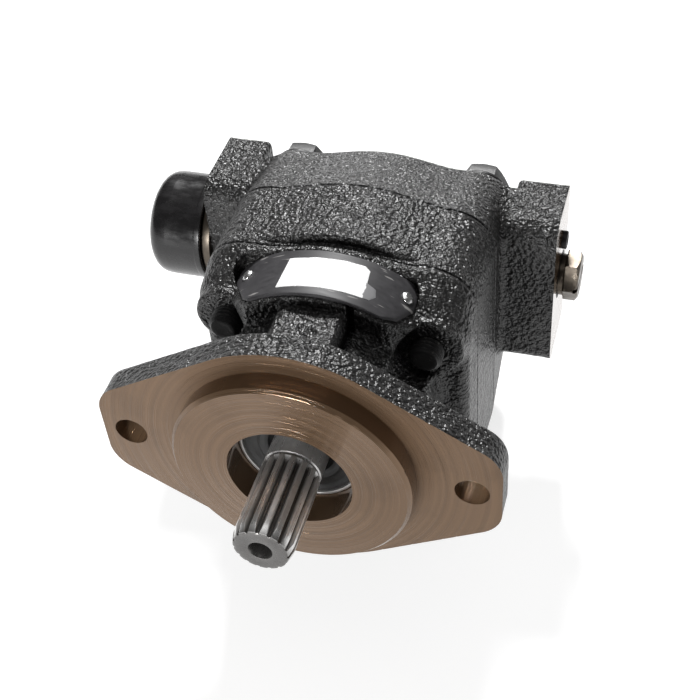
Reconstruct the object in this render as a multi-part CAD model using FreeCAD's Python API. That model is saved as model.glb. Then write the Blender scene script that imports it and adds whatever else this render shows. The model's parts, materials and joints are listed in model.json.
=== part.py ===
import FreeCAD, Part
import math
import os

# Cast-iron external gear pump with a two-bolt mounting flange, a piloted spigot and a splined
# drive shaft. Millimetres. The origin is the centre of the flange's mounting face, on the drive
# shaft's axis. +Y runs back through the pump, so the shaft points along -Y. +Z is up, towards
# the nameplate, and +X is the outlet side. The driven gear hangs below the drive gear.

V = FreeCAD.Vector

# ---- mounting interface (SAE B two-bolt flange, 15-tooth shaft) ----
PILOT_R = 50.8
PILOT_LENGTH = 9.65
PILOT_CHAMFER = 1.6
FLANGE_THICK = 14.0
FLANGE_DISC_R = 60.3
FLANGE_HOLE_X = 73.0
FLANGE_HOLE_R = 7.15
EAR_CORNER_X = 69.2
EAR_CORNER_Z = 10.8
EAR_CORNER_R = 16.0
SHAFT_TIP_Y = -46.0
SPLINE_TEETH = 15
SPLINE_MAJOR_R = 12.49
SPLINE_MINOR_R = 10.83
SPLINE_END_Y = -7.0
SHAFT_R = 12.2
CENTRE_HOLE_R = 4.2
CENTRE_HOLE_DEPTH = 20.0
CENTRE_HOLE_SINK = (0.9, 1.6)
SPLINE_LAND_ANGLE = 4.2
SPLINE_ROOT_ANGLE = 9.9
SPLINE_TIP_R = (11.5, 11.9)
SPLINE_TIP_BREAK = 0.4
SPLINE_TAPER_LENGTH = 4.5
SHAFT_CONE_Y = (18.0, 22.0)
JOURNAL_END_GAP = 3.0

# ---- gear set ----
TEETH = 12
CENTRE_DISTANCE = 47.0
PRESSURE_ANGLE = math.radians(25.0)
FLANK_POINTS = 7
BACKLASH = 0.25
JOURNAL_R = 15.875
BUSHING_BORE_R = 15.92
BUSHING_R = 19.05
CHAMBER_R = 27.5
DRIVEN_Z = -CENTRE_DISTANCE

# ---- stations along the axis ----
BORE_FLOOR_Y = 14.5
EAR_FACE_Y = 49.0
SLAB_FRONT_Y = 56.0
RIM_FACE_Y = 37.0
GROOVE_FRONT_Y = 69.0
FRONT_SEAM_Y = 72.0
GROOVE_BACK_Y = 75.0
REAR_SEAM_Y = 110.0
REAR_FACE_Y = 153.0
FRONT_BUSHING_Y = 34.0
REAR_BUSHING_Y = 146.0
PLATE_THICK = 3.1
END_PLAY = 0.1
PLATE_SEAL_R = 23.5
PLATE_SEAL_WIDTH = 2.0
PLATE_SEAL_DEPTH = 1.8
TRACK_SEAL_DEPTH = 2.0
GROOVE_SLACK = 0.1
THREAD_SLACK = 0.05
BOLT_SLACK = 0.45
SHAFT_HOLE_SLACK = 0.25

# ---- body outline, measured from the drive axis ----
BODY_HALF_WIDTH = 60.0
BODY_TOP = 50.0
TOP_CORNER_R = 20.0
BOTTOM_CORNER_R = 26.0
HUMP_R = 57.0
GROOVE_R = 51.5
NAMEPLATE_SEAT_R = 56.0
NECK_R = 46.0
LOWER_NECK_R = 40.0
LOWER_NECK_Y = 26.0
PAD_HALF_WIDTH = 14.0
PAD_TOP = 51.0
SLOT_WIDTH = 3.0
SLOT_Y = (17.0, 42.0)
SLOT_FLOOR_Z = 38.0
SEAT_FRONT_HALF = 30.0
SEAT_HALF_ANGLE = math.radians(49.0)
SEAT_FLOOR_Z = 25.0
BOSS_R = 15.0
SHOULDER_HALF_WIDTH = 59.0
SHOULDER_TOP = 42.5
SHOULDER_CORNER_R = 17.0
REAR_HALF_WIDTH = 57.5
REAR_TOP = 40.0
REAR_CORNER_R = 15.0
REAR_LOW_CORNER_R = 20.0
REAR_HUMP_R = 44.0
REAR_EDGE_R = 3.0

# ---- tie bolts ----
BOLT_X = 43.8
BOLT_Z = 25.0
BOLT_R = 7.15
BOLT_TIP_Y = 42.7
BOLT_POCKET_R = 13.0
HEX_ACROSS = 20.6
HEAD_HEIGHT = 9.0
WASHER_R = 13.0
WASHER_THICK = 2.0
BOLT_TIP_R = 5.6
BOLT_TIP_CHAMFER = 1.5
HEAD_ROUND_R = 13.0
CROWN_R = (11.7, 9.7)
CROWN_DEPTH = 1.4
WASHER_HOLE_SLACK = 0.3
BOLT_PLACES = [(side * BOLT_X, z) for z in (BOLT_Z, DRIVEN_Z - BOLT_Z) for side in (-1, 1)]

# ---- side ports ----
PORT_Y = 142.0
PORT_Z = -7.0
PORT_BOX_FRONT_Y = 122.0
PORT_BOX_BACK_Y = {-1: 165.0, 1: 159.0}
PORT_BOX_Z = (-48.0, 34.0)
PORT_BOX_INNER_X = 61.0
PORT_ROOT_DEPTH = 20.0
PORT_EDGE_FRONT_TOP = 10.0
PORT_EDGE_BACK_TOP = 4.0
PORT_EDGE_LOW = 7.0
PORT_FACE_X = {-1: 82.0, 1: 84.5}
PASSAGE_R = 11.0
PASSAGE_END_X = 22.0
KIDNEY_R = 8.0
KIDNEY_X = 24.5
INLET_THREAD_R = 16.0
OUTLET_THREAD_R = 9.5
THREAD_DEPTH = 18.0
ORING_SECTION = 2.1
CAP_R = 25.9

DOWEL_R = 4.0
DOWEL_LENGTH = 16.0
DOWEL_PLACES = [(-49.0, -6.0), (49.0, DRIVEN_Z + 6.0)]
SEAL_TRACK_R = 36.0
SEAL_WIDTH = 2.4

# ---- shaft seal, in the bore round the shaft ----
SEAL_BORE_R = 26.5
SEAL_CASE_Y = (4.5, 14.4)
SEAL_CASE_WALL = 1.5
SEAL_CASE_INNER_R = 21.0
SEAL_FACE_Y = 5.4
SEAL_FACE_BACK_Y = 8.0
SEAL_LIP_Y = 12.0
SEAL_FACE_INNER_R = 15.5
SEAL_LIP_R = 13.6
SPRING_R = 15.2
SPRING_WIRE_R = 0.9

# ---- nameplate and label, drawn from above as (x, y) corners ----
PLATE_SHEET = 1.0
LABEL_SHEET = 0.2
RIVET_ANGLES = (-37.5, 36.8)
RIVET_Y = 56.5
RIVET_SHANK_R = 1.6
RIVET_DOME_R = 3.0
NAMEPLATE_CORNERS = [
    (28.0, 39.4), (33.0, 42.5), (37.5, 52.5), (37.5, 60.5), (35.0, 65.5),
    (-38.5, 66.5), (-41.5, 63.0), (-41.5, 58.0), (-31.5, 41.0), (-28.0, 38.4),
]
LABEL_CORNERS = [
    (-16.3, 60.3), (15.5, 61.8), (18.0, 60.0), (18.6, 53.0),
    (22.5, 51.5), (23.5, 47.5), (21.5, 44.6), (-17.0, 42.6),
]
RECESS_MARGIN = 0.5
RECESS_CLEAR = 10.0
RIVET_SHANK_LENGTH = 8.0
RIVET_SHANK_DEPTH = 6.0

# ---- port closures ----
COLLAR_R = 24.0
COLLAR_LENGTH = 4.5
SPIGOT_R = 20.0
SPIGOT_LENGTH = 20.0
CAP_GAP = 4.7
CAP_LENGTH = 28.3
CAP_CROWN_R = 7.0
CAP_DEPTH = 18.0
PLUG_NECK_R = 9.8
PLUG_NECK_LENGTH = 2.5
PLUG_HEX_LENGTH = 7.0
PLUG_SLOT_WIDTH = 2.0
GAUGE_Z = 14.0
GAUGE_HEAD_R = 4.2
GAUGE_HEAD_LENGTH = 2.4
GAUGE_SHANK_R = 2.95
GAUGE_DEPTH = 8.0


# ---- basic shapes ----
def cyl(radius, y0, y1, x=0.0, z=0.0):
    """Cylinder along +Y between two stations."""
    return Part.makeCylinder(radius, y1 - y0, V(x, y0, z), V(0, 1, 0))


def cone(r0, r1, y0, y1, x=0.0, z=0.0):
    return Part.makeCone(r0, r1, y1 - y0, V(x, y0, z), V(0, 1, 0))


def cyl_x(radius, x0, x1, y, z):
    """Cylinder along X between two stations, given in either order."""
    low = min(x0, x1)
    return Part.makeCylinder(radius, abs(x1 - x0), V(low, y, z), V(1, 0, 0))


def tube(outer, inner, y0, y1, x=0.0, z=0.0):
    return cyl(outer, y0, y1, x, z).cut(cyl(inner, y0, y1, x, z))


def tube_x(outer, inner, x0, x1, y, z):
    return cyl_x(outer, x0, x1, y, z).cut(cyl_x(inner, x0, x1, y, z))


def block(x0, x1, y0, y1, z0, z1):
    return Part.makeBox(x1 - x0, y1 - y0, z1 - z0, V(x0, y0, z0))


def merge(first, *others):
    return first.multiFuse(list(others)).removeSplitter()


def remove(shape, *tools):
    for tool in tools:
        shape = shape.cut(tool)
    return shape


def line(p, q, y):
    return Part.LineSegment(V(p[0], y, p[1]), V(q[0], y, q[1])).toShape()


def arc(centre, radius, start, end, y):
    """Arc in a plane of constant Y, from one angle to another in degrees, +X towards +Z."""
    points = []
    for angle in (start, (start + end) / 2.0, end):
        turn = math.radians(angle)
        points.append(V(centre[0] + radius * math.cos(turn), y, centre[1] + radius * math.sin(turn)))
    return Part.Arc(*points).toShape()


def polar(centre, radius, degrees):
    turn = math.radians(degrees)
    return centre[0] + radius * math.cos(turn), centre[1] + radius * math.sin(turn)


def prism(edges, depth):
    """Solid from a closed loop of edges in a plane of constant Y, extruded along +Y."""
    return Part.Face(Part.Wire(edges)).extrude(V(0, depth, 0))


def upright_prism(corners, z0, z1):
    """Solid from a loop of (x, y) corners, extruded along +Z."""
    points = [V(x, y, z0) for x, y in corners]
    return Part.Face(Part.makePolygon(points + points[:1])).extrude(V(0, 0, z1 - z0))


def hex_prism(across, y0, y1, x=0.0, z=0.0):
    """Hexagon with two flats facing up and down."""
    points = [V(*hex_corner(across, k, x, z, y0)) for k in range(6)]
    return Part.Face(Part.makePolygon(points + points[:1])).extrude(V(0, y1 - y0, 0))


def hex_corner(across, k, x, z, y):
    turn = math.radians(60.0 * k)
    reach = across / math.sqrt(3.0)
    return x + reach * math.cos(turn), y, z + reach * math.sin(turn)


def twin(radius, y0, y1):
    """Figure of eight: one disc on each gear axis."""
    return merge(cyl(radius, y0, y1), cyl(radius, y0, y1, z=DRIVEN_Z))


def stadium(radius, y0, y1):
    """Both discs joined by a straight waist of the same width."""
    waist = block(-radius, radius, y0, y1, DRIVEN_Z, 0)
    return merge(cyl(radius, y0, y1), cyl(radius, y0, y1, z=DRIVEN_Z), waist)


# ---- shared outlines ----
def body_loop(y, half_width, top, corner, low_corner, hump):
    """Pump body section: a rounded rectangle with a round hump over each gear."""
    low = DRIVEN_Z - top
    hump_x = math.sqrt(hump ** 2 - top ** 2)
    lean = math.degrees(math.acos(hump_x / hump))
    flat_x = half_width - corner
    low_x = half_width - low_corner
    return [
        line((half_width, low + low_corner), (half_width, top - corner), y),
        arc((flat_x, top - corner), corner, 0, 90, y),
        line((flat_x, top), (hump_x, top), y),
        arc((0, 0), hump, lean, 180 - lean, y),
        line((-hump_x, top), (-flat_x, top), y),
        arc((-flat_x, top - corner), corner, 90, 180, y),
        line((-half_width, top - corner), (-half_width, low + low_corner), y),
        arc((-low_x, low + low_corner), low_corner, 180, 270, y),
        line((-low_x, low), (-hump_x, low), y),
        arc((0, DRIVEN_Z), hump, 180 + lean, 360 - lean, y),
        line((hump_x, low), (low_x, low), y),
        arc((low_x, low + low_corner), low_corner, 270, 360, y),
    ]


def body_slab(y0, y1, hump):
    loop = body_loop(y0, BODY_HALF_WIDTH, BODY_TOP, TOP_CORNER_R, BOTTOM_CORNER_R, hump)
    return prism(loop, y1 - y0)


def flange_plate():
    """Diamond flange: a disc on the shaft axis drawn out to two blunt ears."""
    reach = math.hypot(EAR_CORNER_X, EAR_CORNER_Z)
    tilt = math.degrees(math.atan2(EAR_CORNER_Z, EAR_CORNER_X))
    side = tilt + math.degrees(math.acos((FLANGE_DISC_R - EAR_CORNER_R) / reach))
    return prism(ear_edges(180, side) + ear_edges(360, side), FLANGE_THICK)


def ear_edges(turn, side):
    """Half of the flange outline: the disc's arc, then one ear, whose middle is at the angle turn."""
    hub = (0, 0)
    sign = math.cos(math.radians(turn))
    first = (sign * EAR_CORNER_X, -sign * EAR_CORNER_Z)
    last = (first[0], -first[1])
    enter = turn - side
    leave = turn + side
    return [
        arc(hub, FLANGE_DISC_R, turn - 180 + side, enter, 0),
        line(polar(hub, FLANGE_DISC_R, enter), polar(first, EAR_CORNER_R, enter), 0),
        arc(first, EAR_CORNER_R, enter, turn, 0),
        line(polar(first, EAR_CORNER_R, turn), polar(last, EAR_CORNER_R, turn), 0),
        arc(last, EAR_CORNER_R, turn, leave, 0),
        line(polar(last, EAR_CORNER_R, leave), polar(hub, FLANGE_DISC_R, leave), 0),
    ]


def bolt_holes(radius, y0, y1):
    return [cyl(radius, y0, y1, x, z) for x, z in BOLT_PLACES]


def dowel_holes(seam_y):
    half = DOWEL_LENGTH / 2.0
    return [cyl(DOWEL_R + 0.02, seam_y - half, seam_y + half, x, z) for x, z in DOWEL_PLACES]


def plate_seal(y0, y1, slack=0.0):
    """Figure-of-eight seal behind a thrust plate, or its groove when slack is given."""
    half = PLATE_SEAL_WIDTH / 2.0 + slack
    return twin(PLATE_SEAL_R + half, y0, y1).cut(twin(PLATE_SEAL_R - half, y0, y1))


def track_seal(y0, y1, slack=0.0):
    """Seal round both gear chambers at a seam, or its groove when slack is given."""
    outer = stadium(SEAL_TRACK_R + SEAL_WIDTH / 2.0 + slack, y0, y1)
    return outer.cut(stadium(SEAL_TRACK_R - SEAL_WIDTH / 2.0 - slack, y0, y1))


def kidney_holes(y0, y1):
    """Inlet and outlet galleries beside the mesh point."""
    mid_z = DRIVEN_Z / 2.0
    return [cyl(KIDNEY_R, y0, y1, side * KIDNEY_X, mid_z) for side in (-1, 1)]


# ---- castings ----
def pilot():
    shoulder = PILOT_CHAMFER - PILOT_LENGTH
    nose = cone(PILOT_R - PILOT_CHAMFER, PILOT_R, -PILOT_LENGTH, shoulder)
    return merge(nose, cyl(PILOT_R, shoulder, 0))


def neck():
    """Bearing nose between the flange and the bolt ears, with a cast pad on top."""
    upper = cyl(NECK_R, FLANGE_THICK, SLAB_FRONT_Y)
    lower = cyl(LOWER_NECK_R, LOWER_NECK_Y, SLAB_FRONT_Y, z=DRIVEN_Z)
    waist = block(-LOWER_NECK_R, LOWER_NECK_R, LOWER_NECK_Y, SLAB_FRONT_Y, DRIVEN_Z, 0)
    pad = block(-PAD_HALF_WIDTH, PAD_HALF_WIDTH, FLANGE_THICK, SLAB_FRONT_Y, 0, PAD_TOP)
    return merge(upper, lower, waist, pad)


def nameplate_corners(margin):
    """Outline of the nameplate seen from above, drawn out by a margin."""
    return [(x + math.copysign(margin, x), y + math.copysign(margin, y - RIVET_Y)) for x, y in NAMEPLATE_CORNERS]


def nameplate_seat():
    """Round crest on top that carries the nameplate; its front overhangs the neck."""
    crest = cyl(NAMEPLATE_SEAT_R, RIM_FACE_Y, GROOVE_FRONT_Y)
    front = SEAT_FRONT_HALF
    half = NAMEPLATE_SEAT_R * math.sin(SEAT_HALF_ANGLE)
    corners = [(-front, RIM_FACE_Y), (front, RIM_FACE_Y), (half, EAR_FACE_Y), (half, GROOVE_FRONT_Y),
               (-half, GROOVE_FRONT_Y), (-half, EAR_FACE_Y)]
    return crest.common(upright_prism(corners, SEAT_FLOOR_Z, NAMEPLATE_SEAT_R))


def nameplate_recess():
    """Room above the seat, so that the plate lies in a shallow pocket between the bolt bosses."""
    reach = HUMP_R + RECESS_CLEAR
    shell = tube(reach, NAMEPLATE_SEAT_R, RIM_FACE_Y - 1.0, GROOVE_FRONT_Y)
    return shell.common(upright_prism(nameplate_corners(RECESS_MARGIN), SEAT_FLOOR_Z, reach))


def shoulder():
    """Sloped front of the cover's body, growing to the full section at the seam."""
    front = body_loop(SLAB_FRONT_Y, SHOULDER_HALF_WIDTH, SHOULDER_TOP, SHOULDER_CORNER_R,
                      BOTTOM_CORNER_R, SHOULDER_TOP + 2.0)
    back = body_loop(GROOVE_FRONT_Y, BODY_HALF_WIDTH, BODY_TOP, TOP_CORNER_R, BOTTOM_CORNER_R, GROOVE_R)
    return Part.makeLoft([Part.Wire(front), Part.Wire(back)], True, True)


def bolt_bosses():
    return [cyl(BOSS_R, EAR_FACE_Y, SLAB_FRONT_Y + 2.0, x, z) for x, z in BOLT_PLACES]


def front_cover():
    slot_x = PAD_HALF_WIDTH + SLOT_WIDTH
    slot = block(PAD_HALF_WIDTH, slot_x, SLOT_Y[0], SLOT_Y[1], SLOT_FLOOR_Z, HUMP_R)
    solid = merge(
        flange_plate(), pilot(), neck(), nameplate_seat(), shoulder(),
        body_slab(GROOVE_FRONT_Y, FRONT_SEAM_Y, GROOVE_R), *bolt_bosses(),
    )
    solid = remove(solid, slot, nameplate_recess(), *bolt_holes(BOLT_POCKET_R, FLANGE_THICK, EAR_FACE_Y))
    solid = remove(solid, *bolt_holes(BOLT_R + THREAD_SLACK, EAR_FACE_Y, FRONT_SEAM_Y))
    solid = remove(
        solid,
        cyl(SEAL_BORE_R, -PILOT_LENGTH, BORE_FLOOR_Y),
        cyl(BUSHING_R, BORE_FLOOR_Y, FRONT_SEAM_Y),
        cyl(BUSHING_R, FRONT_BUSHING_Y, FRONT_SEAM_Y, z=DRIVEN_Z),
        plate_seal(FRONT_SEAM_Y - PLATE_SEAL_DEPTH - GROOVE_SLACK, FRONT_SEAM_Y, GROOVE_SLACK),
    )
    solid = remove(solid, *[cyl(FLANGE_HOLE_R, 0, FLANGE_THICK, side * FLANGE_HOLE_X) for side in (-1, 1)])
    solid = remove(solid, *[rivet_shank(angle, THREAD_SLACK) for angle in RIVET_ANGLES])
    return remove(solid, *dowel_holes(FRONT_SEAM_Y))


def gear_housing():
    solid = merge(
        body_slab(FRONT_SEAM_Y, GROOVE_BACK_Y, GROOVE_R),
        body_slab(GROOVE_BACK_Y, REAR_SEAM_Y, HUMP_R),
    )
    solid = solid.cut(twin(CHAMBER_R, FRONT_SEAM_Y, REAR_SEAM_Y))
    solid = remove(solid, *kidney_holes(FRONT_SEAM_Y + PLATE_THICK, REAR_SEAM_Y))
    solid = remove(solid, *bolt_holes(BOLT_R + BOLT_SLACK, FRONT_SEAM_Y, REAR_SEAM_Y))
    solid = remove(solid, *dowel_holes(FRONT_SEAM_Y), *dowel_holes(REAR_SEAM_Y))
    return remove(
        solid,
        track_seal(FRONT_SEAM_Y, FRONT_SEAM_Y + TRACK_SEAL_DEPTH + GROOVE_SLACK, GROOVE_SLACK),
        track_seal(REAR_SEAM_Y - TRACK_SEAL_DEPTH - GROOVE_SLACK, REAR_SEAM_Y, GROOVE_SLACK),
    )


def port_box(side):
    """Cast port block on one side. It stands out past the rear face and is rounded along X."""
    z0, z1 = PORT_BOX_Z
    front, back = PORT_BOX_FRONT_Y, PORT_BOX_BACK_Y[side]
    outer = side * PORT_FACE_X[side]
    inner = side * PORT_BOX_INNER_X
    box = block(min(inner, outer), max(inner, outer), front, back, z0, z1)
    root_end = REAR_FACE_Y - REAR_EDGE_R
    root_x = side * (PORT_BOX_INNER_X - PORT_ROOT_DEPTH)
    root = block(min(inner, root_x), max(inner, root_x), front, root_end, z0, z1)
    shape = merge(box, root)
    rounded = (
        (front, z1, PORT_EDGE_FRONT_TOP), (back, z1, PORT_EDGE_BACK_TOP),
        (front, z0, PORT_EDGE_LOW), (back, z0, PORT_EDGE_LOW),
    )
    for y, z, radius in rounded:
        edges = [e for e in shape.Edges if edge_along_x(e, y, z)]
        shape = shape.makeFillet(radius, edges)
    return shape


def edge_along_x(edge, y, z):
    return all(abs(v.Y - y) < 1e-6 and abs(v.Z - z) < 1e-6 for v in edge.Vertexes)


def tapered_end():
    """Rear cover body: it draws in towards the back, as a casting does, with its back edge rounded."""
    front = body_loop(REAR_SEAM_Y, BODY_HALF_WIDTH, BODY_TOP, TOP_CORNER_R, BOTTOM_CORNER_R, HUMP_R)
    back = body_loop(REAR_FACE_Y, REAR_HALF_WIDTH, REAR_TOP, REAR_CORNER_R, REAR_LOW_CORNER_R, REAR_HUMP_R)
    solid = Part.makeLoft([Part.Wire(front), Part.Wire(back)], True, True)
    rim = [e for e in solid.Edges if all(abs(v.Y - REAR_FACE_Y) < 1e-6 for v in e.Vertexes)]
    return solid.makeFillet(REAR_EDGE_R, rim)


def port_drilling(side, thread_r):
    """Threaded port with an O-ring seat, then the gallery to the gears."""
    face = side * PORT_FACE_X[side]
    seat = face - side * (ORING_SECTION + 0.3)
    step = face - side * THREAD_DEPTH
    return [
        cyl_x(thread_r + ORING_SECTION, face, seat, PORT_Y, PORT_Z),
        cyl_x(thread_r, face, step, PORT_Y, PORT_Z),
        cyl_x(min(PASSAGE_R, thread_r - 1.0), step, side * PASSAGE_END_X, PORT_Y, PORT_Z),
    ]


def rear_cover():
    solid = merge(tapered_end(), port_box(-1), port_box(1))
    solid = remove(solid, *port_drilling(-1, INLET_THREAD_R), *port_drilling(1, OUTLET_THREAD_R))
    solid = remove(solid, *kidney_holes(REAR_SEAM_Y, PORT_Y))
    solid = remove(solid, *bolt_holes(BOLT_R + BOLT_SLACK, REAR_SEAM_Y, REAR_FACE_Y))
    solid = remove(solid, *bolt_holes(WASHER_R + 0.5, REAR_FACE_Y, PORT_BOX_BACK_Y[-1]))
    solid = remove(
        solid,
        cyl(BUSHING_R, REAR_SEAM_Y, REAR_BUSHING_Y),
        cyl(BUSHING_R, REAR_SEAM_Y, REAR_BUSHING_Y, z=DRIVEN_Z),
        plate_seal(REAR_SEAM_Y, REAR_SEAM_Y + PLATE_SEAL_DEPTH + GROOVE_SLACK, GROOVE_SLACK),
    )
    gauge_face = PORT_FACE_X[1]
    solid = solid.cut(cyl_x(GAUGE_SHANK_R + THREAD_SLACK, gauge_face - GAUGE_DEPTH, gauge_face, PORT_Y, GAUGE_Z))
    return remove(solid, *dowel_holes(REAR_SEAM_Y))


# ---- rotating parts ----
def involute_edges(base_r, tip_r, root_r, half_pitch_angle, centre_angle, y):
    """One tooth: radial foot, involute flank, tip land, and the same mirrored."""
    roll = math.sqrt((tip_r / base_r) ** 2 - 1.0)
    at_pitch = math.tan(PRESSURE_ANGLE) - PRESSURE_ANGLE
    flank = []
    for k in range(FLANK_POINTS):
        t = roll * k / (FLANK_POINTS - 1)
        radius = base_r * math.sqrt(1.0 + t * t)
        away = half_pitch_angle + at_pitch - (t - math.atan(t))
        flank.append((radius, away))
    sides = []
    for sign in (-1, 1):
        sides.append([V(r * math.cos(centre_angle + sign * a), y, r * math.sin(centre_angle + sign * a))
                      for r, a in flank])
    foot = flank[0][1]
    feet = [V(root_r * math.cos(centre_angle + s * foot), y, root_r * math.sin(centre_angle + s * foot))
            for s in (-1, 1)]
    tip = V(tip_r * math.cos(centre_angle), y, tip_r * math.sin(centre_angle))
    rising = Part.BSplineCurve()
    rising.interpolate(sides[0])
    falling = Part.BSplineCurve()
    falling.interpolate(sides[1][::-1])
    edges = [
        Part.LineSegment(feet[0], sides[0][0]).toShape(),
        rising.toShape(),
        Part.Arc(sides[0][-1], tip, sides[1][-1]).toShape(),
        falling.toShape(),
        Part.LineSegment(sides[1][0], feet[1]).toShape(),
    ]
    return edges, feet


def gear(y0, y1, z, first_tooth):
    """Spur gear on a Y axis at height z, with a tooth centred on the angle first_tooth."""
    pitch_r = CENTRE_DISTANCE / 2.0
    module = CENTRE_DISTANCE / TEETH
    base_r = pitch_r * math.cos(PRESSURE_ANGLE)
    root_r = pitch_r - 1.25 * module
    half_tooth = math.pi / (2.0 * TEETH) - BACKLASH / (2.0 * pitch_r)
    loop = []
    pitch = 2.0 * math.pi / TEETH
    for k in range(TEETH):
        centre = first_tooth + k * pitch
        edges, feet = involute_edges(base_r, pitch_r + module, root_r, half_tooth, centre, y0)
        floor_angle = centre + pitch / 2.0
        floor = V(root_r * math.cos(floor_angle), y0, root_r * math.sin(floor_angle))
        start = feet[1]
        turned = math.atan2(feet[0].z, feet[0].x) + pitch
        end = V(root_r * math.cos(turned), y0, root_r * math.sin(turned))
        loop += edges + [Part.Arc(start, floor, end).toShape()]
    solid = prism(loop, y1 - y0)
    solid.translate(V(0, 0, z))
    return solid


def splined_end():
    """Straight-sided spline teeth with a long lead-in taper at the tip."""
    pitch = 360.0 / SPLINE_TEETH
    land, foot = SPLINE_LAND_ANGLE, SPLINE_ROOT_ANGLE
    loop = []
    for k in range(SPLINE_TEETH):
        mid = 90.0 + k * pitch
        y = SHAFT_TIP_Y
        roots = [polar((0, 0), SPLINE_MINOR_R, mid + side * foot) for side in (-1, 1)]
        lands = [polar((0, 0), SPLINE_MAJOR_R, mid + side * land) for side in (-1, 1)]
        loop.append(line(roots[0], lands[0], y))
        loop.append(arc((0, 0), SPLINE_MAJOR_R, mid - land, mid + land, y))
        loop.append(line(lands[1], roots[1], y))
        loop.append(arc((0, 0), SPLINE_MINOR_R, mid + foot, mid + pitch - foot, y))
    teeth = prism(loop, SPLINE_END_Y - SHAFT_TIP_Y)
    taper_start = SHAFT_TIP_Y + SPLINE_TIP_BREAK
    taper_end = SHAFT_TIP_Y + SPLINE_TAPER_LENGTH
    full = SPLINE_MAJOR_R + 0.01
    envelope = merge(
        cone(SPLINE_TIP_R[0], SPLINE_TIP_R[1], SHAFT_TIP_Y, taper_start),
        cone(SPLINE_TIP_R[1], full, taper_start, taper_end),
        cyl(full, taper_end, SPLINE_END_Y),
    )
    return teeth.common(envelope)


def drive_gear_shaft():
    first = FRONT_SEAM_Y + PLATE_THICK + END_PLAY
    last = REAR_SEAM_Y - PLATE_THICK - END_PLAY
    solid = merge(
        splined_end(),
        cyl(SHAFT_R, SPLINE_END_Y, SHAFT_CONE_Y[0]),
        cone(SHAFT_R, JOURNAL_R, SHAFT_CONE_Y[0], SHAFT_CONE_Y[1]),
        cyl(JOURNAL_R, SHAFT_CONE_Y[1], REAR_BUSHING_Y - JOURNAL_END_GAP),
        gear(first, last, 0.0, -math.pi / 2.0),
    )
    sink, depth = CENTRE_HOLE_SINK
    return remove(
        solid,
        cyl(CENTRE_HOLE_R, SHAFT_TIP_Y, SHAFT_TIP_Y + CENTRE_HOLE_DEPTH),
        cone(CENTRE_HOLE_R + sink, CENTRE_HOLE_R, SHAFT_TIP_Y, SHAFT_TIP_Y + depth),
    )


def driven_gear_shaft():
    first = FRONT_SEAM_Y + PLATE_THICK + END_PLAY
    last = REAR_SEAM_Y - PLATE_THICK - END_PLAY
    journal_start = FRONT_BUSHING_Y + JOURNAL_END_GAP
    journal = cyl(JOURNAL_R, journal_start, REAR_BUSHING_Y - JOURNAL_END_GAP, z=DRIVEN_Z)
    return merge(journal, gear(first, last, DRIVEN_Z, math.pi / 2.0 + math.pi / TEETH))


# ---- bearings, plates and seals ----
def bushing(y0, y1, z):
    return tube(BUSHING_R, BUSHING_BORE_R, y0, y1, z=z)


def thrust_plate(y0, y1, with_ports):
    plate = twin(CHAMBER_R - 0.2, y0, y1)
    hole_r = JOURNAL_R + SHAFT_HOLE_SLACK
    plate = remove(plate, cyl(hole_r, y0, y1), cyl(hole_r, y0, y1, z=DRIVEN_Z))
    if with_ports:
        plate = remove(plate, *kidney_holes(y0, y1))
    return plate


def shaft_seal_case():
    """Pressed steel case: an outer wall and a turned-in lip at the back."""
    y0, y1 = SEAL_CASE_Y
    outer = SEAL_BORE_R - 0.05
    wall = tube(outer, outer - SEAL_CASE_WALL, y0, y1)
    return merge(wall, tube(outer - SEAL_CASE_WALL, SEAL_CASE_INNER_R, y1 - 1.2, y1))


def shaft_seal_lip():
    """Rubber face and lip. The lip runs on the shaft with a light running clearance."""
    outer = SEAL_BORE_R - SEAL_CASE_WALL - 0.1
    lip_root = SEAL_FACE_INNER_R - 1.4
    face = tube(outer, SEAL_FACE_INNER_R, SEAL_FACE_Y, SEAL_FACE_BACK_Y)
    flare = cone(SEAL_FACE_INNER_R, SEAL_LIP_R, SEAL_FACE_BACK_Y, SEAL_LIP_Y)
    flare = flare.cut(cone(lip_root, SHAFT_R + 0.05, SEAL_FACE_BACK_Y, SEAL_LIP_Y))
    knee = tube(SEAL_FACE_INNER_R + 2.0, lip_root, SEAL_FACE_Y + 1.0, SEAL_FACE_BACK_Y)
    return merge(face, knee, flare)


def garter_spring():
    return Part.makeTorus(SPRING_R, SPRING_WIRE_R, V(0, SEAL_LIP_Y - 0.8, 0), V(0, 1, 0))


def dowel_pins():
    half = DOWEL_LENGTH / 2.0
    pins = [cyl(DOWEL_R, seam - half + 0.2, seam + half - 0.2, x, z)
            for seam in (FRONT_SEAM_Y, REAR_SEAM_Y) for x, z in DOWEL_PLACES]
    return Part.makeCompound(pins)


# ---- fasteners ----
def tie_bolt(x, z):
    head_y = REAR_FACE_Y + WASHER_THICK
    thread_y = BOLT_TIP_Y + BOLT_TIP_CHAMFER
    top_y = head_y + HEAD_HEIGHT
    crown_y = top_y - CROWN_DEPTH
    shank = merge(
        cone(BOLT_TIP_R, BOLT_R, BOLT_TIP_Y, thread_y, x, z),
        cyl(BOLT_R, thread_y, head_y, x, z),
    )
    crown = cone(CROWN_R[0], CROWN_R[1], crown_y, top_y, x, z)
    head = hex_prism(HEX_ACROSS, head_y, top_y, x, z)
    rounded = merge(cyl(HEAD_ROUND_R, head_y, crown_y, x, z), crown)
    return merge(shank, head.common(rounded))


def tie_bolts():
    return Part.makeCompound([tie_bolt(x, z) for x, z in BOLT_PLACES])


def tie_bolt_washers():
    end = REAR_FACE_Y + WASHER_THICK
    hole_r = BOLT_R + WASHER_HOLE_SLACK
    return Part.makeCompound([tube(WASHER_R, hole_r, REAR_FACE_Y, end, x, z) for x, z in BOLT_PLACES])


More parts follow.
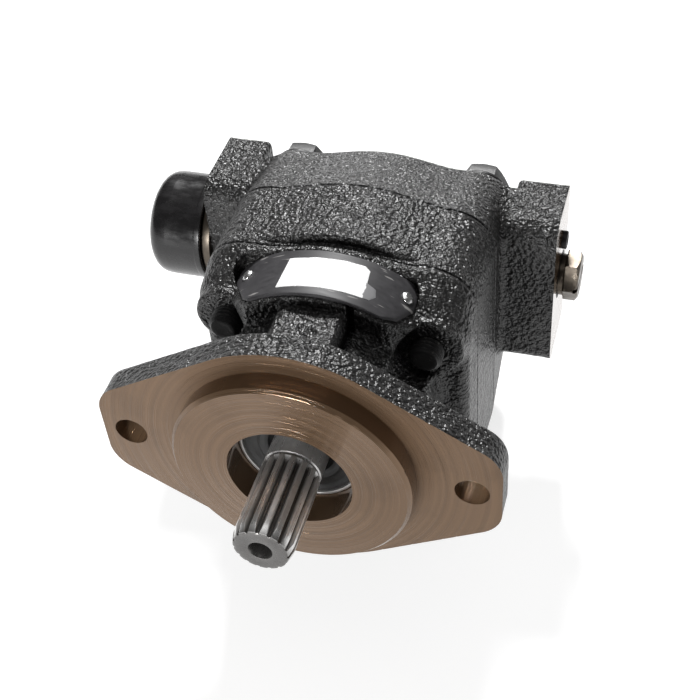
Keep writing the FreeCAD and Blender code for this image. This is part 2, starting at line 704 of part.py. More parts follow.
# ---- nameplate ----
def radial(angle, radius, y):
    turn = math.radians(angle)
    return V(radius * math.sin(turn), y, radius * math.cos(turn))


def rivet_shank(angle, slack=0.0):
    start = radial(angle, NAMEPLATE_SEAT_R - RIVET_SHANK_DEPTH, RIVET_Y)
    return Part.makeCylinder(RIVET_SHANK_R + slack, RIVET_SHANK_LENGTH, start, radial(angle, 1.0, 0))


def nameplate_rivets():
    rivets = []
    for angle in RIVET_ANGLES:
        dome = Part.makeSphere(RIVET_DOME_R, radial(angle, NAMEPLATE_SEAT_R, RIVET_Y))
        dome = dome.cut(cyl(NAMEPLATE_SEAT_R + PLATE_SHEET, RIVET_Y - 5, RIVET_Y + 5))
        rivets.append(merge(rivet_shank(angle), dome))
    return Part.makeCompound(rivets)


def curved_sheet(inner, thick, corners):
    """Piece of a thin shell round the drive axis, cut to an outline seen from above."""
    shell = tube(inner + thick, inner, RIM_FACE_Y, GROOVE_FRONT_Y)
    return shell.common(upright_prism(corners, SEAT_FLOOR_Z, HUMP_R + RECESS_CLEAR))


def nameplate():
    lift = 0.02
    plate = curved_sheet(NAMEPLATE_SEAT_R + lift, PLATE_SHEET - lift, nameplate_corners(0.0))
    return remove(plate, *[rivet_shank(angle, THREAD_SLACK) for angle in RIVET_ANGLES])


def label():
    return curved_sheet(NAMEPLATE_SEAT_R + PLATE_SHEET, LABEL_SHEET, LABEL_CORNERS)


# ---- port closures ----
def inlet_fitting():
    face = -PORT_FACE_X[-1]
    inner_end = face + THREAD_DEPTH - 2
    solid = merge(
        cyl_x(INLET_THREAD_R - 0.1, face, inner_end, PORT_Y, PORT_Z),
        cyl_x(COLLAR_R, face - COLLAR_LENGTH, face, PORT_Y, PORT_Z),
        cyl_x(SPIGOT_R, face - SPIGOT_LENGTH, face - COLLAR_LENGTH, PORT_Y, PORT_Z),
    )
    return solid.cut(cyl_x(PASSAGE_R, face - SPIGOT_LENGTH, inner_end, PORT_Y, PORT_Z))


def oring(side, thread_r):
    face = side * PORT_FACE_X[side]
    back = face - side * (ORING_SECTION + 0.2)
    return tube_x(thread_r + ORING_SECTION - 0.1, thread_r + 0.02, back, face, PORT_Y, PORT_Z)


def inlet_cap():
    """Push-on protective cap with a soft rounded crown."""
    mouth = -PORT_FACE_X[-1] - CAP_GAP
    crown = mouth - CAP_LENGTH
    shell = cyl_x(CAP_R, mouth, crown, PORT_Y, PORT_Z)
    edge = [e for e in shell.Edges if e.isClosed() and abs(e.CenterOfMass.x - crown) < 1e-6]
    shell = shell.makeFillet(CAP_CROWN_R, edge)
    return shell.cut(cyl_x(SPIGOT_R + 0.2, mouth, mouth - CAP_DEPTH, PORT_Y, PORT_Z))


def outlet_plug():
    face = PORT_FACE_X[1]
    hexagon = hex_prism(HEX_ACROSS, 0, PLUG_HEX_LENGTH)
    hexagon.rotate(V(0, 0, 0), V(0, 0, 1), -90)
    hexagon.translate(V(face + PLUG_NECK_LENGTH, PORT_Y, PORT_Z))
    solid = merge(
        cyl_x(OUTLET_THREAD_R - 0.1, face - THREAD_DEPTH + 2, face, PORT_Y, PORT_Z),
        cyl_x(PLUG_NECK_R, face, face + PLUG_NECK_LENGTH, PORT_Y, PORT_Z),
        hexagon,
    )
    end = face + PLUG_NECK_LENGTH + PLUG_HEX_LENGTH
    half = PLUG_SLOT_WIDTH / 2.0
    y0, y1 = PORT_Y - HEX_ACROSS, PORT_Y + HEX_ACROSS
    slot = block(end - PLUG_SLOT_WIDTH, end, y0, y1, PORT_Z - half, PORT_Z + half)
    return solid.cut(slot)


def gauge_plug():
    """Small screw plug above the outlet."""
    face = PORT_FACE_X[1]
    shank = cyl_x(GAUGE_SHANK_R, face - GAUGE_DEPTH + 0.5, face, PORT_Y, GAUGE_Z)
    return merge(shank, cyl_x(GAUGE_HEAD_R, face, face + GAUGE_HEAD_LENGTH, PORT_Y, GAUGE_Z))


def parts():
    first_plate = FRONT_SEAM_Y + PLATE_THICK
    last_plate = REAR_SEAM_Y - PLATE_THICK
    return {
        "front_cover": front_cover(),
        "gear_housing": gear_housing(),
        "rear_cover": rear_cover(),
        "drive_gear_shaft": drive_gear_shaft(),
        "driven_gear_shaft": driven_gear_shaft(),
        "front_drive_bushing": bushing(FRONT_BUSHING_Y, FRONT_SEAM_Y - 0.2, 0),
        "front_driven_bushing": bushing(FRONT_BUSHING_Y, FRONT_SEAM_Y - 0.2, DRIVEN_Z),
        "rear_drive_bushing": bushing(REAR_SEAM_Y + 0.2, REAR_BUSHING_Y, 0),
        "rear_driven_bushing": bushing(REAR_SEAM_Y + 0.2, REAR_BUSHING_Y, DRIVEN_Z),
        "front_thrust_plate": thrust_plate(FRONT_SEAM_Y, first_plate, False),
        "rear_thrust_plate": thrust_plate(last_plate, REAR_SEAM_Y, True),
        "front_plate_seal": plate_seal(FRONT_SEAM_Y - PLATE_SEAL_DEPTH, FRONT_SEAM_Y),
        "rear_plate_seal": plate_seal(REAR_SEAM_Y, REAR_SEAM_Y + PLATE_SEAL_DEPTH),
        "front_housing_seal": track_seal(FRONT_SEAM_Y, FRONT_SEAM_Y + TRACK_SEAL_DEPTH),
        "rear_housing_seal": track_seal(REAR_SEAM_Y - TRACK_SEAL_DEPTH, REAR_SEAM_Y),
        "shaft_seal_case": shaft_seal_case(),
        "shaft_seal_lip": shaft_seal_lip(),
        "shaft_seal_spring": garter_spring(),
        "dowel_pins": dowel_pins(),
        "tie_bolts": tie_bolts(),
        "tie_bolt_washers": tie_bolt_washers(),
        "nameplate": nameplate(),
        "nameplate_rivets": nameplate_rivets(),
        "label": label(),
        "inlet_fitting": inlet_fitting(),
        "inlet_oring": oring(-1, INLET_THREAD_R),
        "inlet_cap": inlet_cap(),
        "outlet_plug": outlet_plug(),
        "outlet_oring": oring(1, OUTLET_THREAD_R),
        "gauge_plug": gauge_plug(),
    }


def main():
    os.makedirs("parts", exist_ok=True)
    for node, shape in parts().items():
        print(node, len(shape.Solids), "valid" if shape.isValid() else "INVALID", round(shape.Volume))
        shape.exportStep("parts/" + node + ".step")


main()
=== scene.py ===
import json
import math
from types import SimpleNamespace

import bmesh
import bpy
import numpy as np
from mathutils import Matrix, Vector


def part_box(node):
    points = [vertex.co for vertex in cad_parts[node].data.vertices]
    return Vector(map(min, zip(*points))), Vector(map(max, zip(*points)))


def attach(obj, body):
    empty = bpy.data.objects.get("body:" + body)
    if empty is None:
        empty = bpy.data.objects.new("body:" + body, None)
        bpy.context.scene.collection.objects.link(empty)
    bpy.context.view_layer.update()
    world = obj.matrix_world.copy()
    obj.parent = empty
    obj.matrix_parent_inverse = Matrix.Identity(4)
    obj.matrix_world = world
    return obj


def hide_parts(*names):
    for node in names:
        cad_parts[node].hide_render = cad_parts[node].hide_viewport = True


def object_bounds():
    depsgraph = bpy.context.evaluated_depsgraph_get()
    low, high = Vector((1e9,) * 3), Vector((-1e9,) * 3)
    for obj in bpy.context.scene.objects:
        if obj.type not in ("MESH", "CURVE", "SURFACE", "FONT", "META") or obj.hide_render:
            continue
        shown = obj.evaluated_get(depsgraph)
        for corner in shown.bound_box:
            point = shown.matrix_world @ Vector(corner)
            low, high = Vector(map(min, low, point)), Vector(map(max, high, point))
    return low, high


bl_info = {
    "name": "Flange-mounted gear pump",
    "version": (1, 0, 0),
    "blender": (4, 5, 0),
    "location": "3D View > Sidebar > Gear pump",
    "description": "Builds a gear pump's castings, shaft, fasteners and closures round its packed frame",
    "category": "Object",
}

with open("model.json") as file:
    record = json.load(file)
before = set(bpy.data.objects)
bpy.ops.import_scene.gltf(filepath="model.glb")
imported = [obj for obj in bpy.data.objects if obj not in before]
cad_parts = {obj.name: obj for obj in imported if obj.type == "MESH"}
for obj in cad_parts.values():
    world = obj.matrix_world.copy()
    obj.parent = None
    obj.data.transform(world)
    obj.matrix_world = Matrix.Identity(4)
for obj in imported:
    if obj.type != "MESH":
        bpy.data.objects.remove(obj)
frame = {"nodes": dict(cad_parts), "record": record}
CAD_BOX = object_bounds()

MM = 0.001


def box(node):
    """Lowest and highest corner of a node of the frame, in millimetres."""
    low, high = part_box(node)
    return np.array(low) / MM, np.array(high) / MM


# ---- stations and radii taken from the frame, in millimetres ----
COVER_LOW, COVER_HIGH = box("front_cover")
HOUSING_LOW, HOUSING_HIGH = box("gear_housing")
REAR_LOW, REAR_HIGH = box("rear_cover")
BOLTS_LOW, BOLTS_HIGH = box("tie_bolts")
WASHERS_LOW, WASHERS_HIGH = box("tie_bolt_washers")
SHAFT_LOW, SHAFT_HIGH = box("drive_gear_shaft")
DRIVEN_LOW, DRIVEN_HIGH = box("driven_gear_shaft")
CAP_LOW, CAP_HIGH = box("inlet_cap")
FITTING_LOW, FITTING_HIGH = box("inlet_fitting")
PLUG_LOW, PLUG_HIGH = box("outlet_plug")
GAUGE_LOW, GAUGE_HIGH = box("gauge_plug")
CASE_LOW, CASE_HIGH = box("shaft_seal_case")
LIP_LOW, LIP_HIGH = box("shaft_seal_lip")

DRIVEN_Z = (DRIVEN_LOW[2] + DRIVEN_HIGH[2]) / 2.0
MID_Z = DRIVEN_Z / 2.0
FRONT_SEAM = HOUSING_LOW[1]
REAR_SEAM = HOUSING_HIGH[1]
REAR_FACE = WASHERS_LOW[1]
HALF_WIDTH = HOUSING_HIGH[0]
HUMP_R = HOUSING_HIGH[2]
FLANGE_REACH = COVER_HIGH[0]
PILOT_FACE = COVER_LOW[1]
BOLT_X = 43.8
WASHER_R = WASHERS_HIGH[0] - BOLT_X
BOLT_Z = WASHERS_HIGH[2] - WASHER_R
BOLT_PLACES = [(side * BOLT_X, z) for z in (BOLT_Z, DRIVEN_Z - BOLT_Z) for side in (-1, 1)]
PORT_Y = (CAP_LOW[1] + CAP_HIGH[1]) / 2.0
PORT_Z = (CAP_LOW[2] + CAP_HIGH[2]) / 2.0
CAP_R = (CAP_HIGH[1] - CAP_LOW[1]) / 2.0
PORT_BOX_LOW_Z = PORT_Z - 41.0
PORT_BOX_HIGH_Z = PORT_Z + 41.0
INLET_FACE = REAR_LOW[0]
OUTLET_FACE = REAR_HIGH[0]
INLET_BOX_BACK = REAR_HIGH[1]
OUTLET_BOX_BACK = REAR_HIGH[1] - 6.0
GAUGE_Z = (GAUGE_LOW[2] + GAUGE_HIGH[2]) / 2.0
NAMEPLATE_SEAT_R = box("nameplate")[1][2] - 1.0
FRONT_BORE_FLOOR = box("front_drive_bushing")[0][1]
SEAL_BORE_FLOOR = FRONT_BORE_FLOOR - 19.5
REAR_BORE_FLOOR = box("rear_drive_bushing")[1][1]


def length(name, description, millimetres):
    """A size the user may change, kept in metres and given here in millimetres."""
    return bpy.props.FloatProperty(
        name=name, description=description, default=millimetres * MM, min=0.0,
        unit="LENGTH", subtype="DISTANCE",
    )


def colour(name, description, red, green, blue):
    return bpy.props.FloatVectorProperty(
        name=name, description=description, default=(red, green, blue), min=0.0, max=1.0, subtype="COLOR"
    )


def factor(name, description, value):
    return bpy.props.FloatProperty(
        name=name, description=description, default=value, min=0.0, max=1.0, subtype="FACTOR"
    )


class PumpCastingSizes(bpy.types.PropertyGroup):
    """Sizes of the three castings that the frame's boxes don't give."""

    grain_step: length("Casting cell", "Edge of the cells that the castings' skins are worked out on", 1.12)
    flange_thickness: length("Flange thickness", "From the mounting face to the back of the flange", 14.0)
    flange_radius: length("Flange disc radius", "Round middle of the flange", 60.3)
    ear_corner: length("Ear corner radius", "Rounding of the flange's ears", 16.0)
    ear_rise: length("Ear half flat", "Half of the straight end of a flange ear", 10.8)
    hole_x: length("Flange hole offset", "From the shaft axis to a mounting hole", 73.0)
    hole_r: length("Flange hole radius", "Radius of a mounting hole", 7.15)
    pilot_radius: length("Pilot radius", "Radius of the locating spigot", 50.8)
    pilot_chamfer: length("Pilot chamfer", "Lead-in chamfer of the spigot", 1.6)
    neck_radius: length("Neck radius", "Bearing nose behind the flange", 46.0)
    lower_neck_radius: length("Lower neck radius", "Nose round the driven gear's bearing", 40.0)
    lower_neck_start: length("Lower neck start", "Start of the lower nose behind the mounting face", 26.0)
    body_top: length("Body top", "Height of the body's flat shoulders above the shaft axis", 50.0)
    flange_fillet: length("Flange fillet", "Soft corner between the flange and the nose", 8.0)
    body_fillet: length("Body fillet", "Soft corner between the nose and the bolt ears", 6.0)
    seal_bore: length("Seal bore radius", "Bore in the pilot that holds the shaft seal", 26.5)
    chamber: length("Gear chamber radius", "Chamber round each gear", 27.5)
    bearing: length("Bearing bore radius", "Bore that holds each plain bearing", 19.05)
    seam_edge: length("Seam edge radius", "Rounding of each casting's edge where two castings meet", 1.3)
    skin_wave: length("Casting unevenness", "Depth of the slow waves in the cast skin", 0.22)


class PumpShaftSizes(bpy.types.PropertyGroup):
    """Sizes of the splined drive shaft."""

    spline_major: length("Spline outer radius", "Radius over the spline lands", 12.49)
    spline_minor: length("Spline root radius", "Radius at the bottom of the spline gaps", 10.83)
    shank: length("Shank radius", "Plain shaft under the seal", 12.2)
    journal: length("Journal radius", "Shaft in the plain bearings", 15.875)
    spline_length: length("Spline length", "Length of the spline teeth", 39.0)
    centre_hole: length("Centre hole radius", "Drilling in the shaft's end", 4.2)


class PumpFinishes(bpy.types.PropertyGroup):
    """Colours and roughness of the pump's finishes."""

    paint: colour("Casting paint", "Satin black paint over sand-cast iron", 0.010, 0.0096, 0.0096)
    # Colour of the grain peaks: partly rubbed paint, partly painted glints.
    rubbed_glint_paint: colour("Rubbed paint", "Rubbed high spots of the cast grain", 0.045, 0.0435, 0.0425)
    bare_iron: colour("Machined iron", "Bare turned face of the flange and pilot", 0.155, 0.096, 0.056)
    steel: colour("Shaft steel", "Ground steel of the shaft", 0.80, 0.79, 0.78)
    zinc: colour("Zinc plating", "Plated port closures", 0.115, 0.098, 0.080)
    black_steel: colour("Black bolt steel", "Oxide-black tie bolts", 0.020, 0.0195, 0.020)
    bronze: colour("Bearing bronze", "Plain bearings and side plates", 0.52, 0.36, 0.17)
    rubber: colour("Seal rubber", "Nitrile rubber", 0.018, 0.018, 0.018)
    plastic: colour("Cap plastic", "Moulded protective cap", 0.009, 0.0085, 0.009)
    plate: colour("Nameplate", "Dark printed aluminium sheet", 0.030, 0.029, 0.031)
    label: colour("Label", "Blank white sticker", 0.82, 0.82, 0.82)
    paint_roughness: factor("Paint roughness", "Roughness of the casting paint", 0.27)


def millimetres(group):
    """The lengths of a property group as plain numbers in millimetres."""
    names = [p.identifier for p in group.bl_rna.properties if p.type == "FLOAT" and p.unit == "LENGTH"]
    return SimpleNamespace(**{n: getattr(group, n) / MM for n in names})


# ---- meshes ----
def mesh_object(name, points, *face_sets):
    """Mesh object from points in millimetres and arrays of faces, each array with one number of corners."""
    mesh = bpy.data.meshes.new(name)
    corners = np.concatenate([f.ravel() for f in face_sets]).astype(np.int32)
    sizes = np.concatenate([np.full(len(f), f.shape[1]) for f in face_sets])
    starts = (np.cumsum(sizes) - sizes).astype(np.int32)
    mesh.vertices.add(len(points))
    mesh.vertices.foreach_set("co", (points * MM).astype(np.float32).ravel())
    mesh.loops.add(len(corners))
    mesh.loops.foreach_set("vertex_index", corners)
    mesh.polygons.add(len(sizes))
    mesh.polygons.foreach_set("loop_start", starts)
    mesh.polygons.foreach_set("use_smooth", np.ones(len(sizes), bool))
    mesh.update(calc_edges=True)
    mesh.validate()
    piece = bpy.data.objects.new(name, mesh)
    bpy.context.scene.collection.objects.link(piece)
    return piece


def point_outwards(piece):
    """Merges doubled points and turns every face of a closed shell outwards."""
    shell = bmesh.new()
    shell.from_mesh(piece.data)
    bmesh.ops.remove_doubles(shell, verts=shell.verts, dist=1e-7)
    bmesh.ops.dissolve_degenerate(shell, edges=shell.edges, dist=1e-7)
    bmesh.ops.recalc_face_normals(shell, faces=shell.faces)
    shell.to_mesh(piece.data)
    shell.free()


def place_piece(piece, node, sharp=35.0, body="housing"):
    """Gives a piece its node's finish and its body, and lets it stand for that node of the frame."""
    piece.data.set_sharp_from_angle(angle=math.radians(sharp))
    piece.data.materials.append(node_finish(node))
    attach(piece, body)
    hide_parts(node)
    return piece


NODE_SLOTS = {part["node"]: part["material_slot"] for part in frame["record"]["subparts"]}


def grid_faces(rows, columns, wrap):
    """Quads between neighbouring rows of a grid of points. wrap joins the last column to the first."""
    row = np.arange(rows - 1)[:, None] * columns
    column = np.arange(columns if wrap else columns - 1)[None, :]
    following = (column + 1) % columns
    quads = np.stack([row + column, row + following, row + columns + following, row + columns + column], -1)
    return quads.reshape(-1, 4)


def rings_shell(rings, joined=False):
    """Points and faces of a shell carried through rings, an array (stations, points, 3).
    joined closes the last ring onto the first. Otherwise a fan to its middle closes each end."""
    stations, count = rings.shape[:2]
    if joined:
        points = np.concatenate([rings, rings[:1]]).reshape(-1, 3)
        return points, [grid_faces(stations + 1, count, True)]
    middles = rings[[0, -1]].mean(axis=1)
    points = np.concatenate([rings.reshape(-1, 3), middles])
    around = np.arange(count)
    following = (around + 1) % count
    last = (stations - 1) * count
    total = stations * count
    front = np.stack([following, around, np.full(count, total)], -1)
    back = np.stack([last + around, last + following, np.full(count, total + 1)], -1)
    return points, [grid_faces(stations, count, True), np.concatenate([front, back])]


def shells_object(name, shells):
    """One object from several shells, each given as (points, [faces, ...])."""
    offset = 0
    points, quads, fans = [], [], []
    for shell_points, faces in shells:
        for face_set in faces:
            (quads if face_set.shape[1] == 4 else fans).append(face_set + offset)
        points.append(shell_points)
        offset += len(shell_points)
    sets = [np.concatenate(group) for group in (quads, fans) if group]
    piece = mesh_object(name, np.concatenate(points), *sets)
    point_outwards(piece)
    return piece


def rounded_path(corners, steps=4):
    """Path through (along, out, radius) corners, each replaced by an arc tangent to both its sides."""
    places = np.array([c[:2] for c in corners], float)
    path = [places[:1]]
    for before, corner, after, item in zip(places, places[1:], places[2:], corners[1:]):
        back = (before - corner) / np.linalg.norm(before - corner)
        ahead = (after - corner) / np.linalg.norm(after - corner)
        half = math.acos(np.clip(back @ ahead, -1.0, 1.0)) / 2.0
        radius = item[2] if len(item) > 2 else 0.0
        if radius == 0.0 or half > 1.55:
            path.append(corner[None])
            continue
        inward = (back + ahead) / np.linalg.norm(back + ahead)
        centre = corner + inward * radius / math.sin(half)
        start = corner + back * radius / math.tan(half) - centre
        end = corner + ahead * radius / math.tan(half) - centre
        share = np.linspace(0.0, 1.0, steps + 1)[:, None]
        sweep = math.pi - 2.0 * half
        arc = (np.sin((1 - share) * sweep) * start + np.sin(share * sweep) * end) / math.sin(sweep)
        path.append(centre + arc)
    path.append(places[-1:])
    return np.concatenate(path)


def turned(path, angles, axis=1, centre=(0.0, 0.0)):
    """Rings of a turned shape: each (along, out) point of the path is swung round an axis.
    A point is (out cos a, out sin a) round the centre in the two other directions, and along on the axis."""
    others = [k for k in range(3) if k != axis]
    rings = np.empty((len(path), len(angles), 3))
    rings[:, :, axis] = path[:, :1]
    rings[:, :, others[0]] = centre[0] + path[:, 1:2] * np.cos(angles)
    rings[:, :, others[1]] = centre[1] + path[:, 1:2] * np.sin(angles)
    return rings


def full_turn(count):
    return np.arange(count) * 2.0 * np.pi / count


# ---- solids as distance fields: negative inside, in millimetres ----
def circle(x, z, radius):
    return np.hypot(x, z) - radius


def slab(along, start, end):
    return np.maximum(start - along, along - end)


def round_join(a, b, radius):
    """Union of two solids with a concave fillet of the given radius where they meet."""
    overlap = np.hypot(np.maximum(radius - a, 0.0), np.maximum(radius - b, 0.0))
    return np.maximum(radius, np.minimum(a, b)) - overlap


def round_meet(a, b, radius):
    """Intersection of two solids with its new edge rounded to the given radius."""
    outside = np.hypot(np.maximum(radius + a, 0.0), np.maximum(radius + b, 0.0))
    return np.minimum(-radius, np.maximum(a, b)) + outside


def rounded_rectangle(x, z, half_x, half_z, corner):
    """Distance to a rectangle round the origin, with its corners rounded."""
    out_x = np.abs(x) - half_x + corner
    out_z = np.abs(z) - half_z + corner
    outside = np.hypot(np.maximum(out_x, 0.0), np.maximum(out_z, 0.0))
    return outside + np.minimum(np.maximum(out_x, out_z), 0.0) - corner


def capsule(x, z, z0, z1, radius):
    """Distance to a round-ended bar between two heights."""
    return np.hypot(x, z - np.clip(z, z0, z1)) - radius


def tapered_capsule(x, z, reach_x, reach_z, radius, end_radius):
    """Distance to the hull of a disc on the origin and a smaller disc at (reach_x, reach_z)."""
    span = math.hypot(reach_x, reach_z)
    along = (x * reach_x + z * reach_z) / span
    across = np.abs(x * reach_z - z * reach_x) / span
    lean = (radius - end_radius) / span
    level = math.sqrt(1.0 - lean * lean)
    place = along * level - across * lean
    side = across * level + along * lean - radius
    near = np.hypot(across, along) - radius
    far = np.hypot(across, along - span) - end_radius
    return np.where(place < 0.0, near, np.where(place > level * span, far, side))


def convex_outline(x, y, corners):
    """Largest of the distances to the straight sides of a convex outline."""
    places = np.array(corners, float)
    ahead = np.roll(places, -1, axis=0) - places
    area = np.sum(places[:, 0] * np.roll(places[:, 1], -1) - places[:, 1] * np.roll(places[:, 0], -1))
    turn = math.copysign(1.0, area)
    out = np.stack([ahead[:, 1], -ahead[:, 0]], -1) * turn / np.linalg.norm(ahead, axis=1)[:, None]
    distance = np.full(np.broadcast(x, y).shape, -np.inf)
    for place, normal in zip(places, out):
        distance = np.maximum(distance, (x - place[0]) * normal[0] + (y - place[1]) * normal[1])
    return distance


def body_section(x, z, half_width, top, corner, low_corner, hump):
    """Section of the pump body: a rounded rectangle with a round hump over each gear."""
    corners = np.where(z > MID_Z, corner, low_corner)
    block = rounded_rectangle(x, z - MID_Z, half_width, top - MID_Z, corners)
    humps = np.minimum(circle(x, z, hump), circle(x, z - DRIVEN_Z, hump))
    fillet = 0.5 + 7.5 * np.clip((46.0 - np.abs(x)) / 12.0, 0.0, 1.0)
    return round_join(block, humps, fillet)


def bolt_bars(x, z, radius):
    """Distance to the nearest of four bars on the tie bolts' axes."""
    return np.hypot(np.abs(x) - BOLT_X, np.abs(z - MID_Z) - (BOLT_Z - MID_Z)) - radius


def dowel_bars(x, z, radius):
    return np.minimum(circle(x + 49.0, z + 6.0, radius), circle(x - 49.0, z - DRIVEN_Z - 6.0, radius))


def kidneys(x, z, radius):
    return circle(np.abs(x) - 24.5, z - MID_Z, radius)


def gear_axes(x, z, radius):
    return np.minimum(circle(x, z, radius), circle(x, z - DRIVEN_Z, radius))


# ---- front cover ----
NAMEPLATE_CORNERS = [
    (28.0, 39.4), (33.0, 42.5), (37.5, 52.5), (37.5, 60.5), (35.0, 65.5),
    (-38.5, 66.5), (-41.5, 63.0), (-41.5, 58.0), (-31.5, 41.0), (-28.0, 38.4),
]
LABEL_CORNERS = [
    (-16.3, 60.3), (15.5, 61.8), (18.0, 60.0), (18.6, 53.0),
    (22.5, 51.5), (23.5, 47.5), (21.5, 44.6), (-17.0, 42.6),
]
RIVET_ANGLES = (-37.5, 36.8)
RIVET_Y = 56.5
RIM_FACE = 37.0
EAR_FACE = 49.0
SLAB_FRONT = 56.0
GROOVE_FRONT = 69.0
GROOVE_R = 51.5
PAD_HALF_WIDTH = 14.0
PAD_TOP = 51.0


def nameplate_outline(margin):
    """Outline of the nameplate seen from above, drawn out by a margin."""
    return [
        (x + math.copysign(margin, x), y + math.copysign(margin, y - RIVET_Y))
        for x, y in NAMEPLATE_CORNERS
    ]


def flange_outline(x, z, s):
    """Diamond flange: the hull of a disc and two blunt ears."""
    reach_x = FLANGE_REACH - s.ear_corner
    ear = tapered_capsule(np.abs(x), np.abs(z), reach_x, s.ear_rise, s.flange_radius, s.ear_corner)
    blunt = np.maximum(np.abs(x) - FLANGE_REACH, np.abs(z) - s.ear_rise)
    return np.minimum(ear, blunt)


def nameplate_seat(x, y, z):
    """Round crest that carries the nameplate, narrower at its front edge."""
    crest = circle(x, z, NAMEPLATE_SEAT_R)
    spread = (np.abs(x) - 30.0 - (y - RIM_FACE) * 1.02) / 1.43
    sides = np.maximum(spread, np.abs(x) - 42.3)
    crest = round_meet(crest, sides, 1.5)
    crest = round_meet(crest, RIM_FACE - y, 1.6)
    return np.maximum(np.maximum(crest, 25.0 - z), y - GROOVE_FRONT)


def front_body(x, y, z, s):
    """Bolt ears and the sloped shoulder that grows to the full body at the seam."""
    grow = np.clip((y - SLAB_FRONT) / (GROOVE_FRONT - SLAB_FRONT), 0.0, 1.0)
    section = body_section(
        x, z, HALF_WIDTH - 1.0 + grow, s.body_top - 7.5 * (1.0 - grow), 17.0 + 3.0 * grow, 26.0,
        GROOVE_R - 7.0 * (1.0 - grow),
    )
    shape = round_meet(section, SLAB_FRONT - y, 4.0)
    bosses = round_meet(bolt_bars(x, z, 15.0), EAR_FACE - y, 2.5)
    bosses = np.maximum(bosses, y - SLAB_FRONT - 6.0)
    return round_join(shape, bosses, 4.0)


def front_cover_cast(x, y, z, s):
    """Everything of the front cover that the mould gives, running on past the machined faces."""
    flange = round_meet(flange_outline(x, z, s), y - s.flange_thickness, 3.0)
    nose = circle(x, z, s.neck_radius)
    pad = rounded_rectangle(x, z - PAD_TOP / 2.0, PAD_HALF_WIDTH, PAD_TOP / 2.0, 3.0)
    nose = round_join(nose, pad, 3.0)
    lower = capsule(x, z, DRIVEN_Z, 0.0, s.lower_neck_radius)
    lower = round_meet(lower, s.lower_neck_start - y, 6.0)
    nose = round_join(nose, lower, 5.0)
    shape = round_join(flange, nose, s.flange_fillet)
    shape = round_join(shape, front_body(x, y, z, s), s.body_fillet)
    shape = round_join(shape, nameplate_seat(x, y, z), 1.5)
    slot = np.maximum(np.abs(x - PAD_HALF_WIDTH - 1.5) - 1.5, np.abs(y - 29.5) - 12.5)
    shape = round_meet(shape, -np.maximum(slot, 38.0 - z), 0.8)
    recess = np.maximum(convex_outline(x, y, nameplate_outline(0.5)), NAMEPLATE_SEAT_R - np.hypot(x, z))
    shape = round_meet(shape, -np.maximum(recess, -z), 0.7)
    pockets = np.maximum(bolt_bars(x, z, 13.0), slab(y, s.flange_thickness, EAR_FACE))
    shape = round_meet(shape, -pockets, 2.5)
    return round_meet(shape, y - FRONT_SEAM, s.seam_edge)


def front_cover_cuts(x, y, z, s):
    """What is machined away: the space round the pilot, the seam face and every bore."""
    chamfered = circle(x, z, s.pilot_radius)
    cone = np.hypot(x, z) - s.pilot_radius + s.pilot_chamfer + PILOT_FACE - y
    chamfered = np.maximum(chamfered, cone * 0.7071)
    keep = np.minimum(-y, np.maximum(chamfered, PILOT_FACE - y))
    keep = np.maximum(keep, y - FRONT_SEAM)
    bores = np.maximum(circle(x, z, s.seal_bore), y - SEAL_BORE_FLOOR)
    bores = np.minimum(bores, np.maximum(circle(x, z, s.bearing), -y))
    bores = np.minimum(bores, np.maximum(circle(x, z - DRIVEN_Z, s.bearing), FRONT_BORE_FLOOR - y))
    bores = np.minimum(bores, circle(np.abs(x) - s.hole_x, z, s.hole_r))
    bores = np.minimum(bores, np.maximum(bolt_bars(x, z, 7.2), 40.0 - y))
    bores = np.minimum(bores, np.maximum(dowel_bars(x, z, 4.05), FRONT_SEAM - 8.0 - y))
    return np.maximum(keep, -bores)


# ---- gear housing ----
def gear_housing_cast(x, y, z, s):
    """Body section with its hump cut back beside the front seam."""
    back = np.clip((y - FRONT_SEAM - 2.4) / 1.2, 0.0, 1.0)
    hump = GROOVE_R + (HUMP_R - GROOVE_R) * back
    section = body_section(x, z, HALF_WIDTH, s.body_top, 20.0, 26.0, hump)
    full = body_section(x, z, HALF_WIDTH, s.body_top, 20.0, 26.0, GROOVE_R)
    raised = round_meet(section, FRONT_SEAM + 2.6 - y, 1.4)
    return round_meet(np.minimum(full, raised), slab(y, FRONT_SEAM, REAR_SEAM), s.seam_edge)


def gear_housing_cuts(x, y, z, s):
    keep = slab(y, FRONT_SEAM, REAR_SEAM)
    bores = gear_axes(x, z, s.chamber)
    bores = np.minimum(bores, np.maximum(kidneys(x, z, 8.0), FRONT_SEAM + 3.1 - y))
    bores = np.minimum(bores, bolt_bars(x, z, 7.6))
    ends = np.minimum(y - FRONT_SEAM, REAR_SEAM - y)
    bores = np.minimum(bores, np.maximum(dowel_bars(x, z, 4.05), ends - 8.0))
    return np.maximum(keep, -bores)


# ---- rear cover ----
def port_box(x, y, z, side):
    """Cast port block: rounded along X, its inner wall standing clear past the rear face."""
    back = INLET_BOX_BACK if side < 0 else OUTLET_BOX_BACK
    front = 122.0
    out = x * side
    half_y = (back - front) / 2.0
    half_z = (PORT_BOX_HIGH_Z - PORT_BOX_LOW_Z) / 2.0
    along = y - (back + front) / 2.0
    up = z - PORT_Z
    corner = np.where(up > 0.0, np.where(along > 0.0, 4.0, 10.0), 7.0)
    outline = rounded_rectangle(along, up, half_y, half_z, corner)
    block = round_meet(outline, 61.0 - out, 2.5)
    root = np.maximum(outline, np.maximum(y - REAR_FACE + 3.0, 41.0 - out))
    return np.minimum(block, root)


